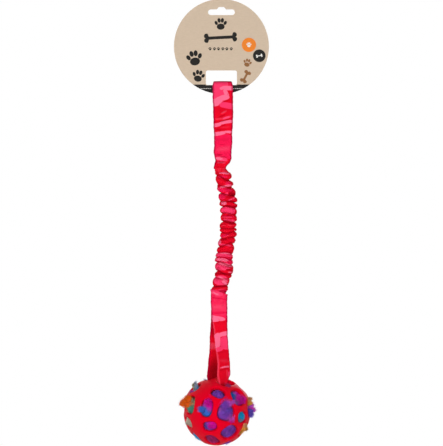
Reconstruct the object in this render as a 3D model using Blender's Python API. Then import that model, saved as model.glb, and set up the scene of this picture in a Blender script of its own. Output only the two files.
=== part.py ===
"""Dog tug toy: a lattice ball on a bungee strap, hanging from its round card.

Units are metres and +Z is up.  The origin is the seat of the peg slot, the
place where a shop peg or a hook carries the card.  The toy hangs below it:
card, handle loop, bungee in its gathered sleeve, ball loop, lattice ball.
The front of the card faces -Y.
"""

import math

import bmesh
import bpy
import numpy as np
from mathutils import Matrix, Vector

MM = 0.001

# Fits shared by all pieces
CLEARANCE = 0.3 * MM
MERGE_DISTANCE = 0.001 * MM

# Hang card
CARD_RADIUS = 53.2 * MM
CARD_THICKNESS = 0.8 * MM
PEG_SEAT_DEPTH = 9.0 * MM
SLOT_WIDTH = 30.0 * MM
SLOT_HEIGHT = 6.3 * MM
BUMP_RISE = 2.7 * MM
BUMP_TOP_WIDTH = 5.6 * MM
BUMP_BASE_WIDTH = 10.6 * MM
WINDOW_WIDTH = 34.8 * MM
WINDOW_HEIGHT = 16.3 * MM
WINDOW_CORNER = 2.0 * MM
STRIP_HEIGHT = 10.0 * MM
STRIP_SLIT = 0.4 * MM
CARD_ARC_STEPS = 72
SLOT_ARC_STEPS = 8
CORNER_STEPS = 4

# Handle loop, a flat strap folded over the card's strip
HANDLE_THICKNESS = 2.6 * MM
HANDLE_WIDTH = 22.0 * MM
HANDLE_WAIST_WIDTH = 19.0 * MM
HANDLE_NECK_WIDTH = 13.0 * MM
HANDLE_DROP = 90.3 * MM
HANDLE_SEWN_LENGTH = 9.0 * MM
HANDLE_GAP = 10.4 * MM
FOLD_INNER_RADIUS = 3.0 * MM
HANDLE_SHIFT = 1.4 * MM
FOLD_STEPS = 6
HANDLE_LEG_STEPS = 18
ROUND_END_STEPS = 6
GAP_GROWTH_SHARE = 0.42
NECK_START_SHARE = 0.8

# Bungee: cuffs, elastic and gathered sleeve
UPPER_CUFF_LENGTH = 5.6 * MM
LOWER_CUFF_LENGTH = 12.0 * MM
SLEEVE_LENGTH = 129.8 * MM
CUFF_HALF_WIDTH = 7.6 * MM
CUFF_HALF_DEPTH = 5.6 * MM
ELASTIC_HALF_WIDTH = 4.6 * MM
ELASTIC_HALF_DEPTH = 2.2 * MM
SLEEVE_HALF_WIDTH = 8.3 * MM
SLEEVE_HALF_DEPTH = 6.9 * MM
RUFFLE_HEIGHT = 1.25 * MM
RUFFLE_COUNT = 18
RUFFLE_RINGS = 3
SLEEVE_SIDES = 18
CUFF_RINGS = 4
BORE_RINGS = 12
# How far the bungee's middle line lies to the right, as shares of its sway
BUNGEE_SWAY = 8.0 * MM
SWAY_SHARES = (
    (0.00, 0.06), (0.13, 0.45), (0.27, 0.85), (0.40, 0.98), (0.54, 0.74),
    (0.72, 0.34), (0.84, -0.08), (0.94, -0.42), (1.00, -0.36),
)

# Ball loop, a narrower strap round one web of the ball
LOOP_THICKNESS = 2.2 * MM
LOOP_WIDTH = 17.0 * MM
LOOP_PASS_WIDTH = 13.0 * MM
LOOP_DROP = 88.7 * MM
LOOP_SEWN_LENGTH = 14.0 * MM
LOOP_INNER_RADIUS = 6.3 * MM
LOOP_LEAN = 6.4 * MM
LOOP_LEG_STEPS = 18
LOOP_TURN_STEPS = 12
GAP_OPEN_SHARE = 0.82
PASS_START_SHARE = 0.9

# Ball: how it hangs, its lattice shell and its holes
BALL_YAW = math.radians(-38.6)
BALL_LEAN = math.radians(-8.3)
BALL_ROLL = math.radians(-7.0)
BALL_RADIUS = 37.4 * MM
BALL_WALL = 5.0 * MM
RIM_ROUNDING = 0.9 * MM
HOLES_PER_RING = 5
HOLE_ROUNDNESS = 2.6
EDGE_STEP = 5.2 * MM
# One row for each ring of holes in a half: angle from the pole, turn about
# it, half lengths towards the pole and across as shares of the ball's radius,
# and cell weight angle
HOLE_RINGS = (
    ("pole", 0.0, 0.0, 0.1765, 0.1765, 14.0),
    ("inner", 36.1, 0.0, 0.2674, 0.2620, 20.5),
    ("side", 64.4, 36.0, 0.2246, 0.1684, 13.5),
    ("outer", 71.8, 0.0, 0.1952, 0.2781, 17.5),
)

# Plush ball inside the shell
PLUSH_WALL = 4.0 * MM
PLUSH_EDGE_STEP = 7.4 * MM
PLUSH_BULGE = 2.8 * MM
GROOVE_MARGIN = 1.3 * MM
BULGE_RING_SHARES = ((0.95, 0.0), (0.72, 0.62), (0.38, 0.92))
TURNING_GAP_RADIUS = 3.4 * MM

# Squeaker in the stuffing
SQUEAKER_RADIUS = 13.0 * MM
SQUEAKER_HEIGHT = 13.0 * MM
SQUEAKER_WALL = 1.0 * MM
SQUEAKER_ROUNDING = 2.5 * MM
SQUEAKER_MOUTH_RADIUS = 2.8 * MM
SQUEAKER_STEPS = 20
REED_FLANGE = 1.2 * MM
REED_FLANGE_HEIGHT = 0.8 * MM
REED_HEIGHT = 3.0 * MM
REED_BORE_RADIUS = 0.9 * MM

# Bar tacks, zigzag stitching on the sewn ends of the straps
THREAD_RADIUS = 0.35 * MM
HANDLE_TACK_WIDTH = 10.0 * MM
HANDLE_TACK_RISE = 3.2 * MM
LOOP_TACK_WIDTH = 12.0 * MM
LOOP_TACK_DROP = 3.4 * MM
TACK_HEIGHT = 2.4 * MM
TACK_ZIGZAGS = 5
MITRE_LIMIT = 1.5


def clear_scene():
    """Remove every object, so that the script starts from nothing."""
    for obj in list(bpy.data.objects):
        bpy.data.objects.remove(obj, do_unlink=True)


def smooth(share):
    """Ease a share from 0 to 1 with flat ends."""
    share = np.clip(share, 0.0, 1.0)
    return share * share * (3.0 - 2.0 * share)


def unit(vector):
    """Scale a vector to length one."""
    vector = np.asarray(vector, dtype=float)
    return vector / np.linalg.norm(vector)


def make_material(name, color, roughness, metallic=0.0):
    """Make a plain Principled material."""
    material = bpy.data.materials.new(name)
    material.use_nodes = True
    shader = material.node_tree.nodes["Principled BSDF"]
    shader.inputs["Base Color"].default_value = (*color, 1.0)
    shader.inputs["Roughness"].default_value = roughness
    shader.inputs["Metallic"].default_value = metallic
    material.diffuse_color = (*color, 1.0)
    return material


def make_pivot(name, position, parent=None, rotation=None):
    """Make an empty on a joint's axis, in world coordinates."""
    pivot = bpy.data.objects.new(name, None)
    bpy.context.collection.objects.link(pivot)
    pivot.empty_display_size = CARD_RADIUS
    world = Matrix.Translation(Vector(position))
    if rotation is not None:
        world = world @ rotation
    pivot.parent = parent
    pivot.matrix_basis = parent.matrix_world.inverted() @ world if parent else world
    bpy.context.view_layer.update()
    return pivot


def finish_object(name, shape, material, parent=None):
    """Turn a bmesh in world coordinates into a named object on its pivot."""
    bmesh.ops.remove_doubles(shape, verts=shape.verts, dist=MERGE_DISTANCE)
    bmesh.ops.recalc_face_normals(shape, faces=shape.faces)
    if shape.calc_volume(signed=True) < 0.0:
        bmesh.ops.reverse_faces(shape, faces=shape.faces)
    if parent is not None:
        shape.transform(parent.matrix_world.inverted())
    mesh = bpy.data.meshes.new(name)
    shape.to_mesh(mesh)
    shape.free()
    mesh.materials.append(material)
    mesh.shade_smooth()
    mesh.set_sharp_from_angle(angle=math.radians(40.0))
    obj = bpy.data.objects.new(name, mesh)
    bpy.context.collection.objects.link(obj)
    obj.parent = parent
    return obj


def arc_points(center, radius, start, end, steps):
    """List points on an arc in the card's plane, as pairs of x and z."""
    turns = np.linspace(math.radians(start), math.radians(end), steps + 1)
    return [
        (center[0] + radius * math.cos(turn), center[1] + radius * math.sin(turn))
        for turn in turns
    ]


def loft(rings, close_ends):
    """Join rings of points into a tube, with flat or open ends."""
    shape = bmesh.new()
    rows = [[shape.verts.new(point) for point in ring] for ring in rings]
    count = len(rows[0])
    for row, following in zip(rows, rows[1:]):
        for i in range(count):
            j = (i + 1) % count
            shape.faces.new((row[i], row[j], following[j], following[i]))
    if close_ends:
        shape.faces.new(rows[0])
        shape.faces.new(rows[-1][::-1])
    return shape


def hollow_loft(outer_rings, inner_rings):
    """Make a tube with a bore from outer and inner rings of equal size."""
    rings = list(outer_rings) + list(inner_rings)[::-1]
    return loft(rings + [rings[0]], close_ends=False)


# Levels down the toy, each from the one above it
CARD_CENTER_Z = PEG_SEAT_DEPTH - CARD_RADIUS
STRIP_TOP_Z = CARD_CENTER_Z - CARD_RADIUS + STRIP_HEIGHT
FOLD_INNER_Z = STRIP_TOP_Z + CLEARANCE
HANDLE_SEAM_Z = FOLD_INNER_Z - HANDLE_DROP
UPPER_CUFF_Z = HANDLE_SEAM_Z - HANDLE_THICKNESS - CLEARANCE
SLEEVE_TOP_Z = UPPER_CUFF_Z - UPPER_CUFF_LENGTH - CLEARANCE
SLEEVE_BOTTOM_Z = SLEEVE_TOP_Z - SLEEVE_LENGTH
LOWER_CUFF_Z = SLEEVE_BOTTOM_Z - CLEARANCE
BUNGEE_BOTTOM_Z = LOWER_CUFF_Z - LOWER_CUFF_LENGTH
LOOP_SEAM_Z = BUNGEE_BOTTOM_Z - CLEARANCE - LOOP_THICKNESS
WEB_AXIS_Z = LOOP_SEAM_Z - LOOP_DROP
WEB_SHIFT = -0.1 * BALL_RADIUS
WEB_RADIUS = BALL_RADIUS - 0.5 * BALL_WALL
WEB_CENTER = np.array((WEB_SHIFT, -LOOP_LEAN, WEB_AXIS_Z))


def ball_axes():
    """Find the ball's directions: through the held web, along it, to the pole."""
    pole = np.array((
        math.cos(BALL_LEAN) * math.cos(BALL_YAW),
        math.cos(BALL_LEAN) * math.sin(BALL_YAW),
        math.sin(BALL_LEAN),
    ))
    level = np.array((-math.sin(BALL_YAW), math.cos(BALL_YAW), 0.0))
    upright = np.cross(pole, level)
    through = math.cos(BALL_ROLL) * upright + math.sin(BALL_ROLL) * level
    along = math.cos(BALL_ROLL) * level - math.sin(BALL_ROLL) * upright
    return through, along, pole


THROUGH_WEB, ALONG_WEB, POLE = ball_axes()
BALL_CENTER = WEB_CENTER - WEB_RADIUS * THROUGH_WEB


def make_card():
    """Cut the round card with its peg slot, window and slit strip."""
    half_slit = 0.5 * STRIP_SLIT
    center = (0.0, CARD_CENTER_Z)
    slit_turn = math.degrees(math.asin(half_slit / CARD_RADIUS))
    rim = arc_points(center, CARD_RADIUS, -90.0 + slit_turn, 270.0 - slit_turn,
                     CARD_ARC_STEPS)
    rim = [(x + HANDLE_SHIFT * (abs(x) <= 2.0 * half_slit and z < STRIP_TOP_Z), z)
           for x, z in rim]
    side = 0.5 * WINDOW_WIDTH - WINDOW_CORNER
    low = STRIP_TOP_Z + WINDOW_CORNER
    high = STRIP_TOP_Z + WINDOW_HEIGHT - WINDOW_CORNER
    window = [(HANDLE_SHIFT - half_slit, STRIP_TOP_Z)]
    for x, z, start in ((-side, low, 270.0), (-side, high, 180.0),
                        (side, high, 90.0), (side, low, 0.0)):
        window += arc_points((x, z), WINDOW_CORNER, start, start - 90.0, CORNER_STEPS)
    window.append((HANDLE_SHIFT + half_slit, STRIP_TOP_Z))
    slot_radius = 0.5 * SLOT_HEIGHT
    slot_z = -BUMP_RISE - slot_radius
    slot_side = 0.5 * SLOT_WIDTH - slot_radius
    slot = arc_points((slot_side, slot_z), slot_radius, -90.0, 90.0, SLOT_ARC_STEPS)
    slot += [(0.5 * BUMP_BASE_WIDTH, -BUMP_RISE), (0.5 * BUMP_TOP_WIDTH, 0.0),
             (-0.5 * BUMP_TOP_WIDTH, 0.0), (-0.5 * BUMP_BASE_WIDTH, -BUMP_RISE)]
    slot += arc_points((-slot_side, slot_z), slot_radius, 90.0, 270.0, SLOT_ARC_STEPS)

    shape = bmesh.new()
    edges = []
    for outline in (rim + window, slot):
        verts = [shape.verts.new((x, -0.5 * CARD_THICKNESS, z)) for x, z in outline]
        edges += [shape.edges.new(pair) for pair in zip(verts, verts[1:] + verts[:1])]
    filled = bmesh.ops.triangle_fill(shape, use_beauty=True, edges=edges)
    faces = [item for item in filled["geom"] if isinstance(item, bmesh.types.BMFace)]
    moved = bmesh.ops.extrude_face_region(shape, geom=faces)
    back = [item for item in moved["geom"] if isinstance(item, bmesh.types.BMVert)]
    bmesh.ops.translate(shape, verts=back, vec=(0.0, CARD_THICKNESS, 0.0))
    material = make_material("card_board", (0.60, 0.46, 0.34), 0.8)
    return finish_object("hang_card", shape, material)


def handle_half_width(drop):
    """Give the handle's half width at a distance below its fold."""
    share = drop / HANDLE_DROP
    waist = smooth((share - 0.35) / (NECK_START_SHARE - 0.35))
    neck = smooth((share - NECK_START_SHARE) / (1.0 - NECK_START_SHARE))
    width = HANDLE_WIDTH + (HANDLE_WAIST_WIDTH - HANDLE_WIDTH) * waist
    return 0.5 * (width + (HANDLE_NECK_WIDTH - width) * neck)


def handle_leg():
    """List one leg's inner line as pairs of depth and drop, from the fold down."""
    turns = np.linspace(0.0, 0.5 * math.pi, FOLD_STEPS + 1)
    points = [(FOLD_INNER_RADIUS * math.sin(turn), FOLD_INNER_RADIUS * (1.0 - math.cos(turn)))
              for turn in turns]
    split = HANDLE_DROP - HANDLE_SEWN_LENGTH
    run = split - FOLD_INNER_RADIUS
    for share in np.linspace(0.0, 1.0, HANDLE_LEG_STEPS + 1)[1:-1]:
        opened = FOLD_INNER_RADIUS + (0.5 * HANDLE_GAP - FOLD_INNER_RADIUS) * smooth(
            share / GAP_GROWTH_SHARE)
        closed = 1.0 - smooth((share - GAP_GROWTH_SHARE) / (1.0 - GAP_GROWTH_SHARE))
        points.append((opened * closed, FOLD_INNER_RADIUS + run * share))
    return np.array(points)


def make_handle(pivot, material):
    """Fold the handle strap over the card's strip and sew its two ends."""
    inner = handle_leg()
    slopes = np.gradient(inner, axis=0)
    slopes[0] = (1.0, 0.0)
    lengths = np.linalg.norm(slopes, axis=1)
    normals = np.stack((slopes[:, 1], -slopes[:, 0]), axis=1) / lengths[:, None]
    outer = inner + HANDLE_THICKNESS * normals

    def station(inner_point, outer_point, side, drop):
        """Place a station of the leg on one side of the card."""
        width = handle_half_width(drop)
        near = np.array((HANDLE_SHIFT, side * inner_point[0], FOLD_INNER_Z - inner_point[1]))
        far = np.array((HANDLE_SHIFT, side * outer_point[0], FOLD_INNER_Z - outer_point[1]))
        return near, far, np.array((width, 0.0, 0.0))

    split = HANDLE_DROP - HANDLE_SEWN_LENGTH
    join = np.array((HANDLE_SHIFT, 0.0, FOLD_INNER_Z - split))
    stations = []
    for side in (-1.0, 1.0):
        leg = [station(near, far, side, near[1]) for near, far in zip(inner, outer)]
        stations += leg[::-1] if side < 0 else leg[1:]
    join_half = np.array((handle_half_width(split), 0.0, 0.0))
    end = []
    for turn in np.linspace(0.0, math.pi, ROUND_END_STEPS + 1):
        y = HANDLE_THICKNESS * math.cos(turn)
        z = HANDLE_SEAM_Z - HANDLE_THICKNESS * math.sin(turn)
        end.append((np.array((HANDLE_SHIFT, y, z)), HANDLE_NECK_WIDTH))
    tail = [(np.array((HANDLE_SHIFT, HANDLE_THICKNESS, join[2])), 2.0 * join_half[0])]
    tail += end
    tail.append((np.array((HANDLE_SHIFT, -HANDLE_THICKNESS, join[2])), 2.0 * join_half[0]))
    shape = strap_ring_with_tail(stations, join, join_half, tail)
    return finish_object("handle_loop", shape, material, pivot)


def strap_ring_with_tail(stations, join, join_half, tail):
    """Close a strap's two legs into one sewn tail with a round end.

    The legs meet at the join.  The tail lists outer points and widths from
    the last leg, round the end and back to the first leg.
    """
    shape = bmesh.new()
    rows = []
    for inner, outer, half in stations:
        rows.append([shape.verts.new(point) for point in
                     (inner - half, inner + half, outer + half, outer - half)])
    for row, following in zip(rows, rows[1:]):
        for i in range(4):
            j = (i + 1) % 4
            shape.faces.new((row[i], row[j], following[j], following[i]))
    low = shape.verts.new(join - join_half)
    high = shape.verts.new(join + join_half)
    across = unit(join_half)
    tail_rows = []
    for point, width in tail:
        half = 0.5 * width * across
        tail_rows.append((shape.verts.new(point - half), shape.verts.new(point + half)))
    for row, ends in ((rows[-1], tail_rows[0]), (rows[0], tail_rows[-1])):
        shape.faces.new((row[0], row[1], high, low))
        shape.faces.new((row[3], row[2], ends[1], ends[0]))
        shape.faces.new((row[1], row[2], ends[1], high))
        shape.faces.new((row[0], row[3], ends[0], low))
    for (near, far), (next_near, next_far) in zip(tail_rows, tail_rows[1:]):
        shape.faces.new((near, far, next_far, next_near))
        shape.faces.new((far, next_far, high))
        shape.faces.new((near, next_near, low))
    return shape


def bungee_x(z):
    """Give the sideways place of the bungee's middle line at a height."""
    share = (UPPER_CUFF_Z - z) / (UPPER_CUFF_Z - BUNGEE_BOTTOM_Z)
    places = np.array(SWAY_SHARES)
    slopes = np.gradient(places[:, 1], places[:, 0])
    share = float(np.clip(share, 0.0, 1.0))
    i = min(int(np.searchsorted(places[:, 0], share, side="right")) - 1, len(places) - 2)
    span = places[i + 1, 0] - places[i, 0]
    t = (share - places[i, 0]) / span
    value = (
        (2 * t**3 - 3 * t**2 + 1) * places[i, 1] + (t**3 - 2 * t**2 + t) * span * slopes[i]
        + (3 * t**2 - 2 * t**3) * places[i + 1, 1] + (t**3 - t**2) * span * slopes[i + 1]
    )
    return BUNGEE_SWAY * value


def oval_ring(z, half_width, half_depth):
    """List points of a level oval round the bungee's middle line."""
    turns = np.linspace(0.0, 2.0 * math.pi, SLEEVE_SIDES, endpoint=False)
    x = bungee_x(z)
    return [(x + half_width * math.cos(turn), half_depth * math.sin(turn), z)
            for turn in turns]


def bore_levels(top, length, count):
    """List the levels of a bore's rings, from the top down."""
    return list(np.linspace(top, top - length, count))


def bore_rings(levels):
    """List the rings of the bore that the elastic runs through."""
    return [oval_ring(z, ELASTIC_HALF_WIDTH + CLEARANCE, ELASTIC_HALF_DEPTH + CLEARANCE)
            for z in levels]


def make_cuff(name, top, length, pivot, material):
    """Make a plain hem round the end of the elastic."""
    levels = bore_levels(top, length, CUFF_RINGS)
    swell = [0.86 + 0.14 * math.sin(math.pi * share)
             for share in np.linspace(0.15, 0.85, CUFF_RINGS)]
    outer = [oval_ring(z, CUFF_HALF_WIDTH * grow, CUFF_HALF_DEPTH * grow)
             for z, grow in zip(levels, swell)]
    inner = bore_rings(levels)
    return finish_object(name, hollow_loft(outer, inner), material, pivot)


def make_elastic(pivot, material):
    """Make the flat elastic that runs from cuff to cuff."""
    levels = bore_levels(UPPER_CUFF_Z, UPPER_CUFF_LENGTH, CUFF_RINGS)
    levels += bore_levels(SLEEVE_TOP_Z, SLEEVE_LENGTH, BORE_RINGS)
    levels += bore_levels(LOWER_CUFF_Z, LOWER_CUFF_LENGTH, CUFF_RINGS)
    levels[0] -= CLEARANCE
    levels[-1] += CLEARANCE
    rings = [oval_ring(z, ELASTIC_HALF_WIDTH, ELASTIC_HALF_DEPTH) for z in levels]
    return finish_object("elastic_core", loft(rings, close_ends=True), material, pivot)


def ruffle(share, turn):
    """Give the height of the gathered cloth, from -1 to 1, at one place."""
    slant = 0.55 * math.sin(turn + 9.0 * share) + 0.3 * math.sin(2.0 * turn - 14.0 * share)
    wave = math.cos(2.0 * math.pi * RUFFLE_COUNT * share + slant)
    depth = 0.8 + 0.2 * math.sin(3.0 * turn + 23.0 * share)
    return -wave * depth


def make_sleeve(pivot, material):
    """Gather the cloth sleeve over the elastic in close ruffles."""
    count = RUFFLE_COUNT * RUFFLE_RINGS + 1
    turns = np.linspace(0.0, 2.0 * math.pi, SLEEVE_SIDES, endpoint=False)
    outer = []
    for share in np.linspace(0.0, 1.0, count):
        z = SLEEVE_TOP_Z - SLEEVE_LENGTH * share
        x = bungee_x(z)
        swell = 1.0 + 0.06 * math.sin(2.0 * math.pi * (share * 2.3 + 0.1))
        fade = smooth(min(share, 1.0 - share) * RUFFLE_COUNT / 0.6 + 0.35)
        ring = []
        for turn in turns:
            rise = RUFFLE_HEIGHT * ruffle(share, turn) * fade
            ring.append((x + (SLEEVE_HALF_WIDTH * swell + rise) * math.cos(turn),
                         (SLEEVE_HALF_DEPTH * swell + rise) * math.sin(turn), z))
        outer.append(ring)
    levels = bore_levels(SLEEVE_TOP_Z, SLEEVE_LENGTH, BORE_RINGS)
    return finish_object("bungee_sleeve", hollow_loft(outer, bore_rings(levels)), material,
                         pivot)


def loop_leg_stations(side):
    """List one leg of the ball loop from its join down to the web's axis.

    The strap twists as it goes down, until its width runs along the web.
    """
    top = np.array((bungee_x(BUNGEE_BOTTOM_Z), 0.0, LOOP_SEAM_Z - LOOP_SEWN_LENGTH))
    stations = []
    for share in np.linspace(0.0, 1.0, LOOP_LEG_STEPS + 1)[1:-1]:
        middle = top + (WEB_CENTER - top) * np.array((share, smooth(share), share))
        width = unit(np.array((1.0, 0.0, 0.0)) * (1.0 - smooth(share))
                     + ALONG_WEB * smooth(share))
        outward = side * unit(np.cross(width, (0.0, 0.0, 1.0)))
        gap = LOOP_INNER_RADIUS * smooth(share / GAP_OPEN_SHARE)
        half = 0.5 * (LOOP_WIDTH + (LOOP_PASS_WIDTH - LOOP_WIDTH) * smooth(
            (share - PASS_START_SHARE) / (0.97 - PASS_START_SHARE)))
        inner = middle + gap * outward
        stations.append((inner, inner + LOOP_THICKNESS * outward, half * width))
    return stations


def make_ball_loop(pivot, material):
    """Run the ball loop down, under the ball's web and up again."""
    up = unit(np.array((0.0, 0.0, 1.0)) - ALONG_WEB[2] * ALONG_WEB)
    out = np.cross(ALONG_WEB, up)
    turn_stations = []
    for turn in np.linspace(0.0, math.pi, LOOP_TURN_STEPS + 1):
        ray = math.cos(turn) * out - math.sin(turn) * up
        inner = WEB_CENTER + LOOP_INNER_RADIUS * ray
        turn_stations.append((inner, inner + LOOP_THICKNESS * ray,
                              0.5 * LOOP_PASS_WIDTH * ALONG_WEB))
    stations = loop_leg_stations(1.0) + turn_stations + loop_leg_stations(-1.0)[::-1]
    x = bungee_x(BUNGEE_BOTTOM_Z)
    join = np.array((x, 0.0, LOOP_SEAM_Z - LOOP_SEWN_LENGTH))
    join_half = np.array((0.5 * LOOP_WIDTH, 0.0, 0.0))
    tail = [(np.array((x, LOOP_THICKNESS, join[2])), LOOP_WIDTH)]
    for turn in np.linspace(0.0, math.pi, ROUND_END_STEPS + 1):
        tail.append((np.array((x, LOOP_THICKNESS * math.cos(turn),
                               LOOP_SEAM_Z + LOOP_THICKNESS * math.sin(turn))), LOOP_WIDTH))
    tail.append((np.array((x, -LOOP_THICKNESS, join[2])), LOOP_WIDTH))
    shape = strap_ring_with_tail(stations, join, join_half, tail)
    return finish_object("ball_loop", shape, material, pivot)


def hole_list():
    """List the ball's holes: direction, pole side, half sizes and cell weight."""
    holes = []
    for half in (1.0, -1.0):
        for name, polar, turn, toward, across, weight in HOLE_RINGS:
            count = 1 if name == "pole" else HOLES_PER_RING
            for i in range(count):
                spin = math.radians(turn + 360.0 / HOLES_PER_RING * i)
                tilt = math.radians(polar)
                direction = (math.sin(tilt) * (math.cos(spin) * THROUGH_WEB
                                               + math.sin(spin) * ALONG_WEB)
                             + half * math.cos(tilt) * POLE)
                holes.append({
                    "ring": name, "direction": direction, "pole": half * POLE,
                    "toward": toward * BALL_RADIUS, "across": across * BALL_RADIUS,
                    "weight": math.cos(math.radians(weight)),
                    "held": name == "outer" and i == 0,
                })
    return holes


def hole_frame(hole):
    """Give two directions square to a hole: towards its pole and across."""
    direction = hole["direction"]
    toward = hole["pole"] - np.dot(hole["pole"], direction) * direction
    if np.linalg.norm(toward) < 0.01:
        toward = THROUGH_WEB
    toward = unit(toward)
    return toward, np.cross(direction, toward)


def cell_outline(hole, holes):
    """Cut the sphere's cell round a hole, as corner directions in order."""
    toward, across = hole_frame(hole)
    reach = 1.2
    polygon = [np.array(p) for p in ((reach, reach), (-reach, reach), (-reach, -reach),
                                     (reach, -reach))]
    own = hole["direction"] / hole["weight"]
    for other in holes:
        if other is hole or np.dot(other["direction"], hole["direction"]) < 0.2:
            continue
        plane = own - other["direction"] / other["weight"]
        level = np.dot(plane, hole["direction"])
        slope = np.array((np.dot(plane, toward), np.dot(plane, across)))
        values = [level + np.dot(slope, p) for p in polygon]
        clipped = []
        for i, p in enumerate(polygon):
            q, a, b = polygon[i - 1], values[i], values[i - 1]
            if (a >= 0.0) != (b >= 0.0):
                clipped.append(q + (p - q) * (b / (b - a)))
            if a >= 0.0:
                clipped.append(p)
        polygon = clipped
    corners = [unit(hole["direction"] + p[0] * toward + p[1] * across) for p in polygon]
    kept = []
    for corner in corners:
        if not any(np.linalg.norm(corner - other) < 0.02 for other in kept):
            kept.append(corner)
    return kept


def great_arc(start, end, step):
    """Split the arc between two directions into steps of about one length."""
    angle = math.acos(float(np.clip(np.dot(start, end), -1.0, 1.0)))
    steps = max(2, round(angle * BALL_RADIUS / step))
    return [unit(start * (1.0 - i / steps) + end * (i / steps)) for i in range(steps)]


def hole_radius(hole, turn):
    """Give the hole's outline: its arc length from the centre at one turn."""
    toward = abs(math.cos(turn)) / hole["toward"]
    across = abs(math.sin(turn)) / hole["across"]
    power = HOLE_ROUNDNESS
    return (toward ** power + across ** power) ** (-1.0 / power)


def cell_rays(hole, holes, step):
    """List the cell's edge directions with each one's turn round the hole."""
    toward, across = hole_frame(hole)
    corners = cell_outline(hole, holes)
    rays = []
    for start, end in zip(corners, corners[1:] + corners[:1]):
        for edge in great_arc(start, end, step):
            turn = math.atan2(np.dot(edge, across), np.dot(edge, toward))
            rays.append((edge, turn))
    return rays


def hole_point(hole, turn, arc):
    """Give the direction at an arc length from a hole's centre."""
    toward, across = hole_frame(hole)
    angle = arc / BALL_RADIUS
    side = math.cos(turn) * toward + math.sin(turn) * across
    return math.cos(angle) * hole["direction"] + math.sin(angle) * side


def add_strip(shape, ring, following):
    """Join two closed rings of points with faces."""
    count = len(ring)
    for i in range(count):
        j = (i + 1) % count
        corners = (ring[i], ring[j], following[j], following[i])
        shape.faces.new([shape.verts.new(corner) for corner in corners])


def make_shell(pivot, material):
    """Mould the rubber ball: a sphere with rings of round-cornered holes."""
    holes = hole_list()
    inner_radius = BALL_RADIUS - BALL_WALL
    shape = bmesh.new()
    for hole in holes:
        rays = cell_rays(hole, holes, EDGE_STEP)
        edge = [BALL_CENTER + BALL_RADIUS * ray for ray, _ in rays]
        rim, lip, root = [], [], []
        for _, turn in rays:
            arc = hole_radius(hole, turn)
            rim.append(BALL_CENTER + BALL_RADIUS * hole_point(hole, turn, arc + RIM_ROUNDING))
            lip.append(BALL_CENTER
                       + (BALL_RADIUS - RIM_ROUNDING) * hole_point(hole, turn, arc))
            root.append(BALL_CENTER + inner_radius * hole_point(hole, turn, arc))
        back = [BALL_CENTER + inner_radius * ray for ray, _ in rays]
        for ring, following in ((edge, rim), (rim, lip), (lip, root), (root, back)):
            add_strip(shape, ring, following)
    return finish_object("ball_shell", shape, material, pivot)


def drawn_in(direction, radius, depth):
    """Place a point of the plush ball, drawn in where the loop runs.

    The depth is how far below the groove's surface the point lies.
    """
    level = direction - np.dot(direction, ALONG_WEB) * ALONG_WEB
    size = float(np.dot(level, level))
    along = WEB_RADIUS * float(np.dot(level, THROUGH_WEB))
    room = LOOP_INNER_RADIUS + LOOP_THICKNESS + GROOVE_MARGIN + depth
    rest = along * along - size * (WEB_RADIUS**2 - room**2)
    reach = radius
    if rest > 0.0 and along > 0.0:
        reach = min(radius, (along - math.sqrt(rest)) / size)
    return BALL_CENTER + reach * direction


def add_fan(shape, ring, center):
    """Close a ring of points with triangles to one point."""
    for i in range(len(ring)):
        corners = (ring[i], ring[(i + 1) % len(ring)], center)
        shape.faces.new([shape.verts.new(corner) for corner in corners])


def add_strips(shape, rings):
    """Join a row of rings with faces."""
    for ring, following in zip(rings, rings[1:]):
        add_strip(shape, ring, following)


def is_turning_gap(hole):
    """Tell whether the plush ball's turning gap lies under this hole."""
    return hole["ring"] == "pole" and np.dot(hole["pole"], POLE) < 0.0


def gap_ring(hole, rays, radius):
    """List the edge of the turning gap at one radius from the ball's centre."""
    arc = TURNING_GAP_RADIUS * BALL_RADIUS / radius
    return [BALL_CENTER + radius * hole_point(hole, turn, arc) for _, turn in rays]


PLUSH_RADIUS = BALL_RADIUS - BALL_WALL - CLEARANCE
LINING_RADIUS = PLUSH_RADIUS - PLUSH_WALL
STUFFING_RADIUS = LINING_RADIUS - CLEARANCE


def make_plush(pivot, material):
    """Sew the plush cover: it swells out of the holes round its filling."""
    holes = hole_list()
    shape = bmesh.new()
    for hole in holes:
        rays = cell_rays(hole, holes, PLUSH_EDGE_STEP)
        swell = 0.0 if hole["held"] else PLUSH_BULGE
        outer = [[drawn_in(ray, PLUSH_RADIUS, 0.0) for ray, _ in rays]]
        for share, height in BULGE_RING_SHARES:
            outer.append([
                drawn_in(hole_point(hole, turn, share * hole_radius(hole, turn)),
                         PLUSH_RADIUS + swell * height, 0.0)
                for _, turn in rays])
        lining = [drawn_in(ray, LINING_RADIUS, PLUSH_WALL) for ray, _ in rays]
        if is_turning_gap(hole):
            top = PLUSH_RADIUS + swell * BULGE_RING_SHARES[-1][1]
            mouth = [gap_ring(hole, rays, top), gap_ring(hole, rays, LINING_RADIUS)]
            add_strips(shape, outer[:-1] + mouth + [lining])
            continue
        add_strips(shape, outer)
        add_fan(shape, outer[-1], drawn_in(hole["direction"], PLUSH_RADIUS + swell, 0.0))
        add_fan(shape, lining, drawn_in(hole["direction"], LINING_RADIUS, PLUSH_WALL))
    return finish_object("plush_cover", shape, material, pivot)


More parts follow.
